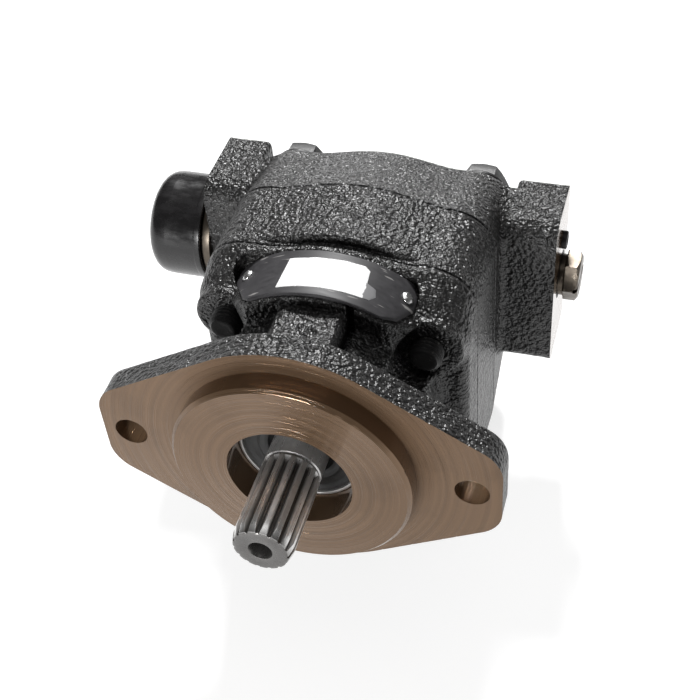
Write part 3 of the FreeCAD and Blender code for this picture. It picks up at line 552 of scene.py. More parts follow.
def rear_cover_cast(x, y, z, s):
    """Body that draws in towards its back, with a port block on each side."""
    fall = np.clip((y - REAR_SEAM) / (REAR_FACE - REAR_SEAM), 0.0, 1.0)
    section = body_section(
        x, z, HALF_WIDTH - 2.5 * fall, s.body_top - 10.0 * fall, 20.0 - 5.0 * fall, 26.0 - 6.0 * fall,
        HUMP_R - 13.0 * fall,
    )
    shape = round_meet(section, y - REAR_FACE, 4.0)
    for side in (-1.0, 1.0):
        shape = round_join(shape, port_box(x, y, z, side), 4.0)
    return round_meet(shape, REAR_SEAM - y, s.seam_edge)


def rear_cover_cuts(x, y, z, s):
    keep = np.maximum(REAR_SEAM - y, np.maximum(x - OUTLET_FACE, INLET_FACE - x))
    bores = np.maximum(gear_axes(x, z, s.bearing), y - REAR_BORE_FLOOR)
    bores = np.minimum(bores, np.maximum(kidneys(x, z, 8.0), y - PORT_Y))
    bores = np.minimum(bores, bolt_bars(x, z, 7.6))
    bores = np.minimum(bores, np.maximum(dowel_bars(x, z, 4.05), y - REAR_SEAM - 8.0))
    inlet = np.maximum(circle(y - PORT_Y, z - PORT_Z, 16.0), x + 64.0)
    outlet = np.maximum(circle(y - PORT_Y, z - PORT_Z, 9.5), 66.5 - x)
    gallery = np.maximum(circle(y - PORT_Y, z - PORT_Z, 8.5), 22.0 - np.abs(x))
    gauge = np.maximum(circle(y - PORT_Y, z - GAUGE_Z, 3.0), OUTLET_FACE - 8.0 - x)
    for bore in (inlet, outlet, gallery, gauge):
        bores = np.minimum(bores, bore)
    return np.maximum(keep, -bores)


# ---- skin of a distance field ----
def lattice(low, high, step):
    """Evenly spaced stations from before low to past high, off the round values that flat faces lie on."""
    count = int(math.ceil((high - low) / step)) + 4
    return low - 1.63 * step + step * np.arange(count)


def crossings(field, value, axes, step, axis):
    """Points and slopes where the skin cuts the lattice lines along one axis, with each line's start."""
    inside = value < 0.0
    lower = [slice(None)] * 3
    upper = [slice(None)] * 3
    lower[axis] = slice(None, -1)
    upper[axis] = slice(1, None)
    lower, upper = tuple(lower), tuple(upper)
    start = np.stack(np.nonzero(inside[lower] != inside[upper]), -1)
    origin = np.array([a[0] for a in axes])
    first = origin + start * step
    at_first = value[lower][tuple(start.T)]
    at_last = value[upper][tuple(start.T)]
    near, far = np.zeros(len(start)), np.ones(len(start))
    f_near, f_far = at_first.copy(), at_last.copy()
    direction = np.eye(3)[axis] * step
    for _ in range(3):
        share = near + (far - near) * np.clip(f_near / (f_near - f_far), 0.02, 0.98)
        points = first + share[:, None] * direction
        found = field(*points.T)
        same = np.signbit(found) == np.signbit(f_near)
        near, f_near = np.where(same, share, near), np.where(same, found, f_near)
        far, f_far = np.where(same, far, share), np.where(same, f_far, found)
    share = near + (far - near) * f_near / np.where(f_near == f_far, 1.0, f_near - f_far)
    points = first + share[:, None] * direction
    return start, points, slope(field, points), at_first < 0.0


def slope(field, points, reach=0.03):
    """Unit gradient of the field, by central differences."""
    parts = []
    for k in range(3):
        shift = np.eye(3)[k] * reach
        parts.append(field(*(points + shift).T) - field(*(points - shift).T))
    gradient = np.stack(parts, -1)
    return gradient / np.maximum(np.linalg.norm(gradient, axis=1), 1e-9)[:, None]


def skin(field, low, high, step):
    """Quads over the surface field = 0. Every lattice cell that the surface cuts gets the point
    that lies nearest to the tangent planes at its cuts, so flats, edges and corners stay true.
    Each lattice line that the surface cuts gives the quad between the four cells round it."""
    axes = [lattice(a, b, step) for a, b in zip(low, high)]
    value = field(*np.meshgrid(*axes, indexing="ij"))
    counts = np.array(value.shape)
    origin = np.array([a[0] for a in axes])
    cells, points, normals = [], [], []
    for axis in range(3):
        start, places, out, rising = crossings(field, value, axes, step, axis)
        round_line = np.zeros((4, 3), int)
        round_line[:, (axis + 1) % 3] = (-1, 0, 0, -1)
        round_line[:, (axis + 2) % 3] = (-1, -1, 0, 0)
        ring = start[:, None] + round_line[None]
        ring = np.where(rising[:, None, None], ring, ring[:, ::-1])
        cells.append(ring)
        points.append(places)
        normals.append(out)
    ring = np.concatenate(cells)
    used, corner = np.unique(np.ravel_multi_index(ring.reshape(-1, 3).T, counts), return_inverse=True)
    corner = corner.ravel()
    place = np.repeat(np.concatenate(points), 4, axis=0)
    normal = np.repeat(np.concatenate(normals), 4, axis=0)

    def total(weights):
        return np.bincount(corner, weights, len(used))

    share = total(np.ones(len(corner)))
    middle = np.stack([total(place[:, k]) / share for k in range(3)], -1)
    level = np.sum(normal * (place - middle[corner]), axis=1)
    planes = np.empty((len(used), 3, 3))
    for i in range(3):
        for j in range(3):
            planes[:, i, j] = total(normal[:, i] * normal[:, j])
    planes += 0.02 * np.eye(3)
    pull = np.stack([total(normal[:, i] * level) for i in range(3)], -1)
    vertex = middle + np.linalg.solve(planes, pull[:, :, None])[:, :, 0]
    corner_low = origin + np.stack(np.unravel_index(used, counts), -1) * step
    vertex = np.clip(vertex, corner_low, corner_low + step)
    return vertex, corner.reshape(-1, 4)


def waves(points, shortest, longest, count, seed):
    """Smooth unevenness between -1 and 1: a sum of sine waves of mixed directions and lengths."""
    random = np.random.default_rng(seed)
    directions = random.normal(size=(count, 3))
    directions /= np.linalg.norm(directions, axis=1)[:, None]
    lengths = shortest * (longest / shortest) ** random.random(count)
    phases = random.random(count) * 2.0 * np.pi
    total = np.sin(points @ (directions * 2.0 * np.pi / lengths[:, None]).T + phases).sum(axis=1)
    return total / math.sqrt(2.0 * count)


def cast_piece(name, cast, cuts, low, high, s, seed):
    """Skin of a casting. Its cast faces get the slow waves of a sand mould, and a face value says
    which faces are machined."""

    def field(x, y, z):
        return np.maximum(cast(x, y, z, s), cuts(x, y, z, s))

    points, quads = skin(field, low, high, s.grain_step)
    middles = points[quads].mean(axis=1).T
    bare = cuts(*middles, s) > cast(*middles, s)
    depth = np.clip(-cuts(*points.T, s) / 3.0, 0.0, 1.0)
    depth = depth * np.clip(1.0 + cast(*points.T, s) / 0.3, 0.0, 1.0)
    uneven = 0.6 * waves(points, 9.0, 26.0, 24, seed) + 0.4 * waves(points, 3.2, 6.0, 40, seed + 1)
    sink = s.skin_wave * depth * np.clip(0.5 + 0.5 * uneven, 0.0, 1.0)
    points = points - slope(field, points) * sink[:, None]
    piece = mesh_object(name, points, quads)
    mark = piece.data.attributes.new("machined", "FLOAT", "FACE")
    mark.data.foreach_set("value", bare.astype(np.float32))
    return piece


# ---- finishes ----
class Graph:
    """A material's node tree, with short ways to add and join its nodes."""

    def __init__(self, name, metallic=0.0, specular=0.5):
        self.material = bpy.data.materials.new(name)
        self.material.use_nodes = True
        self.tree = self.material.node_tree
        self.shader = self.tree.nodes["Principled BSDF"]
        self.shader.inputs["Metallic"].default_value = metallic
        self.shader.inputs["Specular IOR Level"].default_value = specular
        self.place = self.add("ShaderNodeTexCoord").outputs["Object"]

    def add(self, kind, **settings):
        node = self.tree.nodes.new(kind)
        for name, value in settings.items():
            setattr(node, name, value)
        return node

    def feed(self, socket, value):
        """Joins another node's output to the socket, or sets the socket's own value."""
        if isinstance(value, bpy.types.NodeSocket):
            self.tree.links.new(value, socket)
        else:
            socket.default_value = value

    def surface(self, name, value):
        self.feed(self.shader.inputs[name], value)

    def noise(self, scale, detail=2.0, roughness=0.5, place=None):
        node = self.add("ShaderNodeTexNoise")
        self.feed(node.inputs["Vector"], place or self.place)
        node.inputs["Scale"].default_value = scale
        node.inputs["Detail"].default_value = detail
        node.inputs["Roughness"].default_value = roughness
        return node.outputs["Fac"]

    def line_noise(self, along, scale, detail=2.0):
        """Noise that changes along one number only, as tool marks do."""
        node = self.add("ShaderNodeTexNoise", noise_dimensions="1D")
        self.feed(node.inputs["W"], along)
        node.inputs["Scale"].default_value = scale
        node.inputs["Detail"].default_value = detail
        return node.outputs["Fac"]

    def stretched(self, x, y, z):
        node = self.add("ShaderNodeMapping")
        self.feed(node.inputs["Vector"], self.place)
        node.inputs["Scale"].default_value = (x, y, z)
        return node.outputs["Vector"]

    def math(self, operation, a, b=0.0, c=0.0):
        node = self.add("ShaderNodeMath", operation=operation)
        for socket, value in zip(node.inputs, (a, b, c)):
            self.feed(socket, value)
        return node.outputs[0]

    def spread(self, value, low, high, to_low=0.0, to_high=1.0):
        """Stretches a range of a value onto another range, and holds it there."""
        node = self.add("ShaderNodeMapRange", clamp=True)
        for socket, item in zip(node.inputs, (value, low, high, to_low, to_high)):
            self.feed(socket, item)
        return node.outputs[0]

    def blend(self, share, first, second):
        node = self.add("ShaderNodeMix", data_type="RGBA")
        self.feed(node.inputs["Factor"], share)
        for socket, value in zip([i for i in node.inputs if i.type == "RGBA"], (first, second)):
            self.feed(socket, value if isinstance(value, bpy.types.NodeSocket) else (*value, 1.0))
        return [o for o in node.outputs if o.type == "RGBA"][0]

    def bump(self, height, distance, strength=1.0, under=None):
        node = self.add("ShaderNodeBump")
        node.inputs["Distance"].default_value = distance
        self.feed(node.inputs["Strength"], strength)
        self.feed(node.inputs["Height"], height)
        if under is not None:
            self.feed(node.inputs["Normal"], under)
        return node.outputs["Normal"]

    def axis_radius(self):
        """Distance from the drive shaft's axis."""
        flat = self.add("ShaderNodeVectorMath", operation="MULTIPLY")
        self.feed(flat.inputs[0], self.place)
        flat.inputs[1].default_value = (1.0, 0.0, 1.0)
        node = self.add("ShaderNodeVectorMath", operation="LENGTH")
        self.feed(node.inputs[0], flat.outputs[0])
        return node.outputs["Value"]

    def along(self, letter):
        node = self.add("ShaderNodeSeparateXYZ")
        self.feed(node.inputs[0], self.place)
        return node.outputs[letter]


def shade(tint, amount):
    return tuple(min(1.0, channel * amount) for channel in tint)


def casting_finish(finishes):
    """Satin paint over coarse sand-cast grain, its grain peaks lighter in colour as rubbed paint and as
    painted glints, and turned bare iron where a face is machined.
    """
    g = Graph("casting")
    bare = g.add("ShaderNodeAttribute", attribute_name="machined").outputs["Fac"]
    radius = g.axis_radius()
    grain = g.noise(560.0, 1.0, 0.5)
    lumps = g.noise(210.0, 2.0, 0.5)
    stains = g.noise(38.0, 4.0, 0.6)
    # The grain's peaks get a lighter colour: partly rubbed paint and dust, partly a painted glint standing
    # in for the satin paint's sparkle.
    peaks = g.spread(grain, 0.50, 0.68)
    rubbed_glint_share = g.math("MULTIPLY", peaks, g.spread(stains, 0.35, 0.65, 0.25, 0.8))
    paint = g.blend(rubbed_glint_share, tuple(finishes.paint), tuple(finishes.rubbed_glint_paint))
    marks = g.line_noise(radius, 2600.0, 3.0)
    wide_marks = g.line_noise(radius, 420.0, 2.0)
    bright_iron = tuple(finishes.bare_iron)
    iron = g.blend(g.spread(wide_marks, 0.3, 0.7), shade(bright_iron, 0.82), bright_iron)
    iron = g.blend(g.spread(stains, 0.52, 0.75, 0.0, 0.45), iron, shade(finishes.bare_iron, 0.55))
    g.surface("Base Color", g.blend(bare, paint, iron))
    g.surface("Metallic", g.math("MULTIPLY", bare, 0.55))
    paint_rough = g.spread(lumps, 0.3, 0.7, finishes.paint_roughness - 0.08, finishes.paint_roughness + 0.12)
    iron_rough = g.spread(marks, 0.3, 0.7, 0.30, 0.46)
    rough = g.add("ShaderNodeMix", data_type="FLOAT")
    for socket, value in zip(rough.inputs, (bare, paint_rough, iron_rough)):
        g.feed(socket, value)
    g.surface("Roughness", rough.outputs[0])
    painted = g.math("SUBTRACT", 1.0, bare)
    coarse = g.math("ADD", g.math("MULTIPLY", lumps, 0.6), grain)
    skin_bump = g.bump(coarse, 0.0017, painted)
    g.surface("Normal", g.bump(marks, 0.00018, bare, skin_bump))
    return g.material


def turned_steel_finish(name, tint, roughness=0.30, root=None):
    """Ground steel with fine streaks along its axis. root paints shade: what lies under that radius, the
    gaps of the spline, is darkened in colour.
    """
    g = Graph(name, metallic=0.8)
    marks = g.noise(1500.0, 2.0, 0.5, g.stretched(1.0, 0.04, 1.0))
    film = g.noise(120.0, 3.0, 0.6)
    base = g.blend(g.spread(film, 0.35, 0.75), tint, shade(tint, 0.72))
    if root:
        # Painted shade in the spline's gaps: colour darkened under the root radius.
        root_shade = g.spread(g.axis_radius(), root[0] * MM, root[1] * MM, 0.85, 0.0)
        base = g.blend(root_shade, base, (0.035, 0.032, 0.030))
    g.surface("Base Color", base)
    g.surface("Roughness", g.spread(marks, 0.3, 0.7, roughness - 0.06, roughness + 0.10))
    return g.material


def plated_finish(name, tint, roughness=0.32):
    """Zinc plating, a little cloudy, with a fine grain."""
    g = Graph(name, metallic=1.0)
    cloud = g.noise(160.0, 4.0, 0.6)
    g.surface("Base Color", g.blend(g.spread(cloud, 0.35, 0.7), tint, shade(tint, 0.7)))
    g.surface("Roughness", g.spread(cloud, 0.3, 0.7, roughness - 0.05, roughness + 0.14))
    g.surface("Normal", g.bump(g.noise(1500.0, 2.0), 0.00004, 0.8))
    return g.material


def black_steel_finish(tint):
    """Black fastener steel with lighter scuffed spots scattered over it."""
    g = Graph("black_fastener", specular=0.3)
    wear = g.noise(420.0, 4.0, 0.65)
    g.surface("Base Color", g.blend(g.spread(wear, 0.60, 0.76), tint, (0.12, 0.115, 0.11)))
    g.surface("Roughness", g.spread(wear, 0.35, 0.7, 0.50, 0.40))
    g.surface("Normal", g.bump(g.noise(1100.0, 3.0), 0.00012, 0.8))
    return g.material


def rubber_finish(tint):
    g = Graph("seal_rubber", specular=0.4)
    cloud = g.noise(260.0, 3.0)
    g.surface("Base Color", g.blend(cloud, tint, shade(tint, 1.8)))
    g.surface("Roughness", g.spread(cloud, 0.3, 0.7, 0.42, 0.58))
    g.surface("Normal", g.bump(g.noise(2200.0, 2.0), 0.00003, 0.6))
    return g.material


def plastic_finish(tint):
    """Moulded plastic with faint handling scuffs and flow marks."""
    g = Graph("cap_plastic", specular=0.5)
    scuff = g.noise(70.0, 5.0, 0.65, g.stretched(1.0, 2.6, 2.6))
    g.surface("Base Color", g.blend(g.spread(scuff, 0.5, 0.75), tint, shade(tint, 2.1)))
    g.surface("Roughness", g.spread(scuff, 0.35, 0.7, 0.17, 0.36))
    flow = g.noise(90.0, 2.0, 0.5, g.stretched(0.4, 1.0, 1.0))
    g.surface("Normal", g.bump(g.noise(900.0, 2.0), 0.00003, 0.5, g.bump(flow, 0.0004, 0.35)))
    return g.material


def bronze_finish(tint):
    g = Graph("bearing_bronze", metallic=1.0)
    marks = g.line_noise(g.axis_radius(), 1800.0, 2.0)
    g.surface("Base Color", g.blend(g.spread(marks, 0.3, 0.7), tint, shade(tint, 0.75)))
    g.surface("Roughness", g.spread(marks, 0.3, 0.7, 0.26, 0.42))
    g.surface("Normal", g.bump(marks, 0.00002, 0.6))
    return g.material


def nameplate_finish(tint):
    """Dark printed sheet, blank, with brushed grain and a few light scratches."""
    g = Graph("nameplate_sheet", specular=0.25)
    brushed = g.noise(500.0, 3.0, 0.6, g.stretched(0.06, 1.0, 1.0))
    scratch = g.noise(240.0, 2.0, 0.5, g.stretched(0.25, 1.9, 0.4))
    lines = g.spread(scratch, 0.655, 0.69)
    base = g.blend(g.spread(brushed, 0.3, 0.75), tint, shade(tint, 1.5))
    g.surface("Base Color", g.blend(g.math("MULTIPLY", lines, 0.6), base, (0.32, 0.31, 0.30)))
    g.surface("Roughness", g.spread(brushed, 0.3, 0.7, 0.44, 0.58))
    g.surface("Normal", g.bump(brushed, 0.00003, 0.6))
    return g.material


def label_finish(tint):
    """Blank white sticker with a grey worn corner."""
    g = Graph("label_vinyl", specular=0.4)
    fuzz = g.math("MULTIPLY", g.noise(260.0, 3.0), 0.003)
    right = g.spread(g.math("ADD", g.along("X"), fuzz), 0.0199, 0.0203)
    front = g.spread(g.math("ADD", g.along("Y"), fuzz), 0.0550, 0.0545)
    base = g.blend(g.spread(g.noise(90.0, 3.0), 0.4, 0.8), tint, shade(tint, 0.93))
    g.surface("Base Color", g.blend(g.math("MULTIPLY", right, front), base, (0.17, 0.17, 0.175)))
    g.surface("Roughness", g.spread(fuzz, 0.0, 0.003, 0.38, 0.5))
    g.surface("Normal", g.bump(g.noise(1200.0, 2.0), 0.00002, 0.5))
    return g.material


def floor_finish():
    g = Graph("studio_floor", specular=0.3)
    g.surface("Base Color", (0.36, 0.36, 0.36, 1.0))
    g.surface("Emission Color", (1.0, 1.0, 1.0, 1.0))
    g.surface("Emission Strength", 0.80)
    g.surface("Roughness", 0.7)
    return g.material


FINISHES = {}


def finish(slot):
    """The material of one of the record's slots, made once."""
    if slot not in FINISHES:
        f = bpy.context.scene.pump_finishes
        makers = {
            "cast_iron_black": lambda: casting_finish(f),
            # (11.0, 12.1) are the radii under which the spline's gaps get painted shade.
            "ground_steel": lambda: turned_steel_finish("ground_steel", tuple(f.steel), 0.30, (11.0, 12.1)),
            "bearing_bronze": lambda: bronze_finish(tuple(f.bronze)),
            "black_rubber": lambda: rubber_finish(tuple(f.rubber)),
            "seal_steel": lambda: turned_steel_finish("seal_steel", shade(f.steel, 0.85), 0.34),
            "black_bolt_steel": lambda: black_steel_finish(tuple(f.black_steel)),
            "plate_grey": lambda: nameplate_finish(tuple(f.plate)),
            "rivet_steel": lambda: plated_finish("rivet_steel", shade(f.steel, 1.3), 0.22),
            "label_white": lambda: label_finish(tuple(f.label)),
            "zinc_steel": lambda: plated_finish("zinc_plating", tuple(f.zinc), 0.30),
            "black_plastic": lambda: plastic_finish(tuple(f.plastic)),
        }
        FINISHES[slot] = makers[slot]()
    return FINISHES[slot]


def node_finish(node):
    return finish(NODE_SLOTS[node])


# ---- drive shaft ----
def spline_radius(angles, s):
    """Radius of the spline section at each angle: lands, leaning flanks and roots, with soft corners."""
    pitch = 2.0 * np.pi / 15
    away = np.abs((angles + np.pi / 2.0 + pitch / 2.0) % pitch - pitch / 2.0) / (pitch / 2.0)
    fall = np.clip((away - 0.36) / 0.44, 0.0, 1.0)
    soft = fall * fall * (3.0 - 2.0 * fall) * 0.45 + fall * 0.55
    return s.spline_major - (s.spline_major - s.spline_minor) * soft


def gear_radius(angles):
    """Radius of the twelve-tooth gear at each angle, with a tooth straight down."""
    pitch = 2.0 * np.pi / 12
    away = np.abs((angles + np.pi / 2.0 + pitch / 2.0) % pitch - pitch / 2.0) / (pitch / 2.0)
    tip, root = 27.41, 18.7
    flank = np.clip((away - 0.17) / 0.62, 0.0, 1.0)
    return tip - (tip - root) * flank ** 0.8


def drive_shaft_rings(s):
    """Rings of radius r(angle) along the shaft: chamfered spline, shank, journals and gear."""
    angles = full_turn(720)
    tip = SHAFT_LOW[1]
    spline_end = tip + s.spline_length
    spline = spline_radius(angles, s)
    gear = gear_radius(angles)
    flat = np.ones_like(angles)
    stations = []

    def add(y, radius):
        stations.append((y, radius * flat))

    hole_depth = 20.0
    add(tip + hole_depth, 0.05)
    add(tip + hole_depth - 2.2, s.centre_hole)
    add(tip + 1.6, s.centre_hole)
    add(tip + 0.15, s.centre_hole + 0.8)
    add(tip, s.centre_hole + 1.1)
    add(tip, 9.9)
    add(tip + 0.12, 10.5)
    for share in np.linspace(0.0, 1.0, 9):
        add(tip + 0.4 + 4.4 * share, np.minimum(spline, 11.35 + (s.spline_major - 11.3) * share))
    for y in np.linspace(tip + 8.0, spline_end - 5.0, 8):
        add(y, spline)
    for share in np.linspace(0.0, 1.0, 8):
        run_out = share * share * (s.shank - s.spline_minor + 0.1)
        floor = s.spline_minor + run_out - 0.1
        add(spline_end - 4.0 + 4.0 * share, np.maximum(spline - 0.25 * share, floor))
    add(spline_end + 0.3, s.shank - 0.5)
    add(spline_end + 1.3, s.shank - 0.5)
    add(spline_end + 1.8, s.shank)
    for y in (0.0, 6.0, 12.0, 18.0):
        add(y, s.shank)
    add(22.0, s.journal)
    gear_start = FRONT_SEAM + 3.2
    gear_end = REAR_SEAM - 3.2
    add(gear_start - 0.2, s.journal)
    add(gear_start, gear - 0.4)
    add(gear_start + 0.4, gear)
    add(gear_end - 0.4, gear)
    add(gear_end, gear - 0.4)
    add(gear_end + 0.2, s.journal)
    add(SHAFT_HIGH[1] - 1.0, s.journal)
    add(SHAFT_HIGH[1], s.journal - 1.0)
    along = np.array([y for y, _ in stations])
    out = np.stack([r for _, r in stations])
    rings = np.empty((len(stations), len(angles), 3))
    rings[:, :, 0] = out * np.cos(angles)
    rings[:, :, 1] = along[:, None]
    rings[:, :, 2] = out * np.sin(angles)
    return rings


# ---- tie bolts ----
def hexagon_radius(angles, across):
    """Distance from the middle of a hexagon to its side at each angle, flats facing up and down."""
    sixth = np.pi / 3.0
    return across / 2.0 / np.cos((angles % sixth) - sixth / 2.0)


def thread_radius(y, angles, outer, pitch, depth):
    """Radius of a right-hand thread: a rounded ridge that climbs one pitch in each turn."""
    share = (y[:, None] / pitch - angles[None, :] / (2.0 * np.pi)) % 1.0
    ridge = 1.0 - np.abs(2.0 * share - 1.0)
    return outer - depth * (1.0 - np.clip(ridge * 1.35 - 0.15, 0.0, 1.0))


def tie_bolt_rings(x, z):
    """Rings of one tie bolt: chamfered threaded end, shank, and hexagon head with a crowned top."""
    angles = full_turn(72)
    tip, head, top = BOLTS_LOW[1], WASHERS_HIGH[1], BOLTS_HIGH[1]
    outer, pitch = 7.1, 2.0
    across = 20.6
    hexagon = hexagon_radius(angles, across)
    flat = np.ones_like(angles)
    along, out = [], []

    def add(y, radius):
        along.append(y * flat)
        out.append(radius * flat)

    add(tip + 0.25, 0.4)
    add(tip + 0.12, 3.6)
    add(tip, 5.1)
    add(tip + 0.1, 5.45)
    climb = np.arange(tip + 0.5, tip + 16.0, pitch / 8.0)
    threads = thread_radius(climb, angles, outer, pitch, 1.05)
    threads = np.minimum(threads, 5.6 + (climb - tip - 0.4)[:, None] * 1.1)
    for y, radius in zip(climb, threads):
        add(y, radius)
    add(climb[-1] + 1.0, outer - 0.1)
    add(head - 1.0, outer - 0.1)
    add(head, outer + 0.6)
    add(head, hexagon - 0.5)
    add(head + 0.3, hexagon - 0.12)
    add(head + 0.8, hexagon)
    crown = 9.55
    drop = np.maximum(hexagon - crown - 0.2, 0.0) * 0.58
    add(top - 0.9 - drop, hexagon)
    add(top - 0.42 - drop, hexagon - 0.22)
    add(top - 0.12, crown + 0.15)
    add(top, crown - 0.4)
    add(top, crown - 1.6)
    add(top - 0.15, crown - 1.9)
    add(top - 0.15, 0.5)
    along, out = np.stack(along), np.stack(out)
    rings = np.empty(along.shape + (3,))
    rings[:, :, 0] = x + out * np.cos(angles)
    rings[:, :, 1] = along
    rings[:, :, 2] = z + out * np.sin(angles)
    return rings


# ---- sheets on the round seat ----
def half_widths(y, corners):
    """Least and greatest x of an outline of (x, y) corners at each y."""
    places = np.array(corners, float)
    following = np.roll(places, -1, axis=0)
    low = np.full(len(y), np.inf)
    high = np.full(len(y), -np.inf)
    for a, b in zip(places, following):
        if abs(a[1] - b[1]) < 1e-9:
            continue
        share = (y - a[1]) / (b[1] - a[1])
        hit = (share >= -1e-9) & (share <= 1.0 + 1e-9)
        x = a[0] + share * (b[0] - a[0])
        low = np.where(hit, np.minimum(low, x), low)
        high = np.where(hit, np.maximum(high, x), high)
    return low, high


def curved_sheet(corners, inner, outer, columns=72, rows=40, lift=None):
    """Closed sheet on a cylinder round the drive axis: a ring for each y, along the top and back
    underneath, at z = sqrt(R^2 - x^2). Its edge is rolled over by a small radius."""
    places = np.array(corners, float)
    y = np.linspace(places[:, 1].min(), places[:, 1].max(), rows)
    y = np.unique(np.concatenate([y, places[:, 1]]))
    low, high = half_widths(y, corners)
    share = np.linspace(0.0, 1.0, columns)
    x = low[:, None] + (high - low)[:, None] * share
    edge = min(0.35, (outer - inner) * 0.45)
    over = np.clip(np.minimum(x - x[:, :1], x[:, -1:] - x) / edge, 0.0, 1.0)
    ends = np.clip(np.minimum(y - y[0], y[-1] - y) / edge, 0.0, 1.0)[:, None]
    drop = edge * (1.0 - np.sqrt(1.0 - (1.0 - np.minimum(over, ends)) ** 2))
    radius = outer - drop
    if lift is not None:
        radius = radius + lift(x, y[:, None])
    top = np.stack([x, np.repeat(y[:, None], columns, 1), np.sqrt(radius ** 2 - x ** 2)], -1)
    under = np.stack([x, np.repeat(y[:, None], columns, 1), np.sqrt(inner ** 2 - x ** 2)], -1)
    rings = np.concatenate([top, under[:, ::-1]], axis=1)
    count = 2 * columns
    points = rings.reshape(-1, 3)
    ends_of_sheet = []
    for row in (0, len(y) - 1):
        first = row * count + np.arange(columns - 1)
        other = row * count + count - 1 - np.arange(columns - 1)
        ends_of_sheet.append(np.stack([first, first + 1, other - 1, other], -1))
    return points, [grid_faces(len(y), count, True)] + ends_of_sheet


# ---- operators ----
class PumpOperator:
    """What the pump's operators share: they work in any scene that has the pump's settings."""

    bl_options = {"REGISTER", "UNDO"}

    @classmethod
    def poll(cls, context):
        return hasattr(context.scene, "pump_castings")


class PUMP_OT_front_cover(PumpOperator, bpy.types.Operator):
    """Front cover casting with its flange, pilot, nose and bolt ears"""

    bl_idname = "pump.front_cover"
    bl_label = "Front cover"

    def execute(self, context):
        s = millimetres(context.scene.pump_castings)
        piece = cast_piece(
            "front_cover_casting", front_cover_cast, front_cover_cuts, COVER_LOW, COVER_HIGH, s, 11
        )
        place_piece(piece, "front_cover")
        return {"FINISHED"}


class PUMP_OT_gear_housing(PumpOperator, bpy.types.Operator):
    """Middle casting round the two gears"""

    bl_idname = "pump.gear_housing"
    bl_label = "Gear housing"

    def execute(self, context):
        s = millimetres(context.scene.pump_castings)
        piece = cast_piece(
            "gear_housing_casting", gear_housing_cast, gear_housing_cuts, HOUSING_LOW, HOUSING_HIGH, s, 23
        )
        place_piece(piece, "gear_housing")
        return {"FINISHED"}


class PUMP_OT_rear_cover(PumpOperator, bpy.types.Operator):
    """Rear cover casting with its two port blocks"""

    bl_idname = "pump.rear_cover"
    bl_label = "Rear cover"

    def execute(self, context):
        s = millimetres(context.scene.pump_castings)
        piece = cast_piece(
            "rear_cover_casting", rear_cover_cast, rear_cover_cuts, REAR_LOW, REAR_HIGH, s, 37
        )
        place_piece(piece, "rear_cover")
        return {"FINISHED"}


class PUMP_OT_drive_shaft(PumpOperator, bpy.types.Operator):
    """Drive gear and its splined shaft, one forging"""

    bl_idname = "pump.drive_shaft"
    bl_label = "Drive gear shaft"

    def execute(self, context):
        s = millimetres(context.scene.pump_shaft)
        piece = shells_object("drive_shaft_forging", [rings_shell(drive_shaft_rings(s))])
        place_piece(piece, "drive_gear_shaft", 32.0, "drive_shaft")
        return {"FINISHED"}


class PUMP_OT_fasteners(PumpOperator, bpy.types.Operator):
    """Four tie bolts with threaded ends, and the washers under their heads"""

    bl_idname = "pump.fasteners"
    bl_label = "Tie bolts and washers"

    def execute(self, context):
        bolts = shells_object("tie_bolt_set", [rings_shell(tie_bolt_rings(x, z)) for x, z in BOLT_PLACES])
        place_piece(bolts, "tie_bolts", 30.0)
        y0, y1 = WASHERS_LOW[1], WASHERS_HIGH[1]
        loop = rounded_path(
            [(y0, 10.0), (y0, WASHER_R, 0.4), (y1, WASHER_R, 0.6), (y1, 7.5, 0.2), (y0, 7.5, 0.2),
             (y0, 10.0)], 3
        )[:-1]
        shells = [rings_shell(turned(loop, full_turn(72), 1, place), True) for place in BOLT_PLACES]
        place_piece(shells_object("tie_bolt_washer_set", shells), "tie_bolt_washers")
        return {"FINISHED"}


class PUMP_OT_nameplate(PumpOperator, bpy.types.Operator):
    """Curved nameplate with its blank label and two drive rivets"""

    bl_idname = "pump.nameplate"
    bl_label = "Nameplate, label and rivets"

    def execute(self, context):
        inner, outer = NAMEPLATE_SEAT_R + 0.02, NAMEPLATE_SEAT_R + 1.0
        plate = shells_object("nameplate_sheet", [curved_sheet(nameplate_outline(0.0), inner, outer)])
        place_piece(plate, "nameplate", 50.0)
        sticker = shells_object("label_sticker", [curved_sheet(LABEL_CORNERS, outer, outer + 0.19)])
        place_piece(sticker, "label", 50.0)
        self.rivets(outer)
        return {"FINISHED"}

    def rivets(self, seat):
        """Domed head on a short shank, turned round Z and then tipped to its place on the round seat."""
        path = rounded_path(
            [(-6.0, 0.05), (-6.0, 1.5, 0.3), (-0.05, 1.5), (-0.05, 2.75, 0.1), (0.5, 2.75, 0.45),
             (1.45, 1.5, 1.6), (1.5, 0.05)], 5
        )
        upright = turned(path, full_turn(40), 2)
        shells = []
        for angle in RIVET_ANGLES:
            turn = math.radians(angle)
            out = np.array([math.sin(turn), 0.0, math.cos(turn)])
            side = np.array([math.cos(turn), 0.0, -math.sin(turn)])
            rings = upright[:, :, :1] * side + (upright[:, :, 2:] + seat) * out
            rings[:, :, 1] = upright[:, :, 1] + RIVET_Y
            shells.append(rings_shell(rings))
        rivets = shells_object("nameplate_rivet_pair", shells)
        place_piece(rivets, "nameplate_rivets")


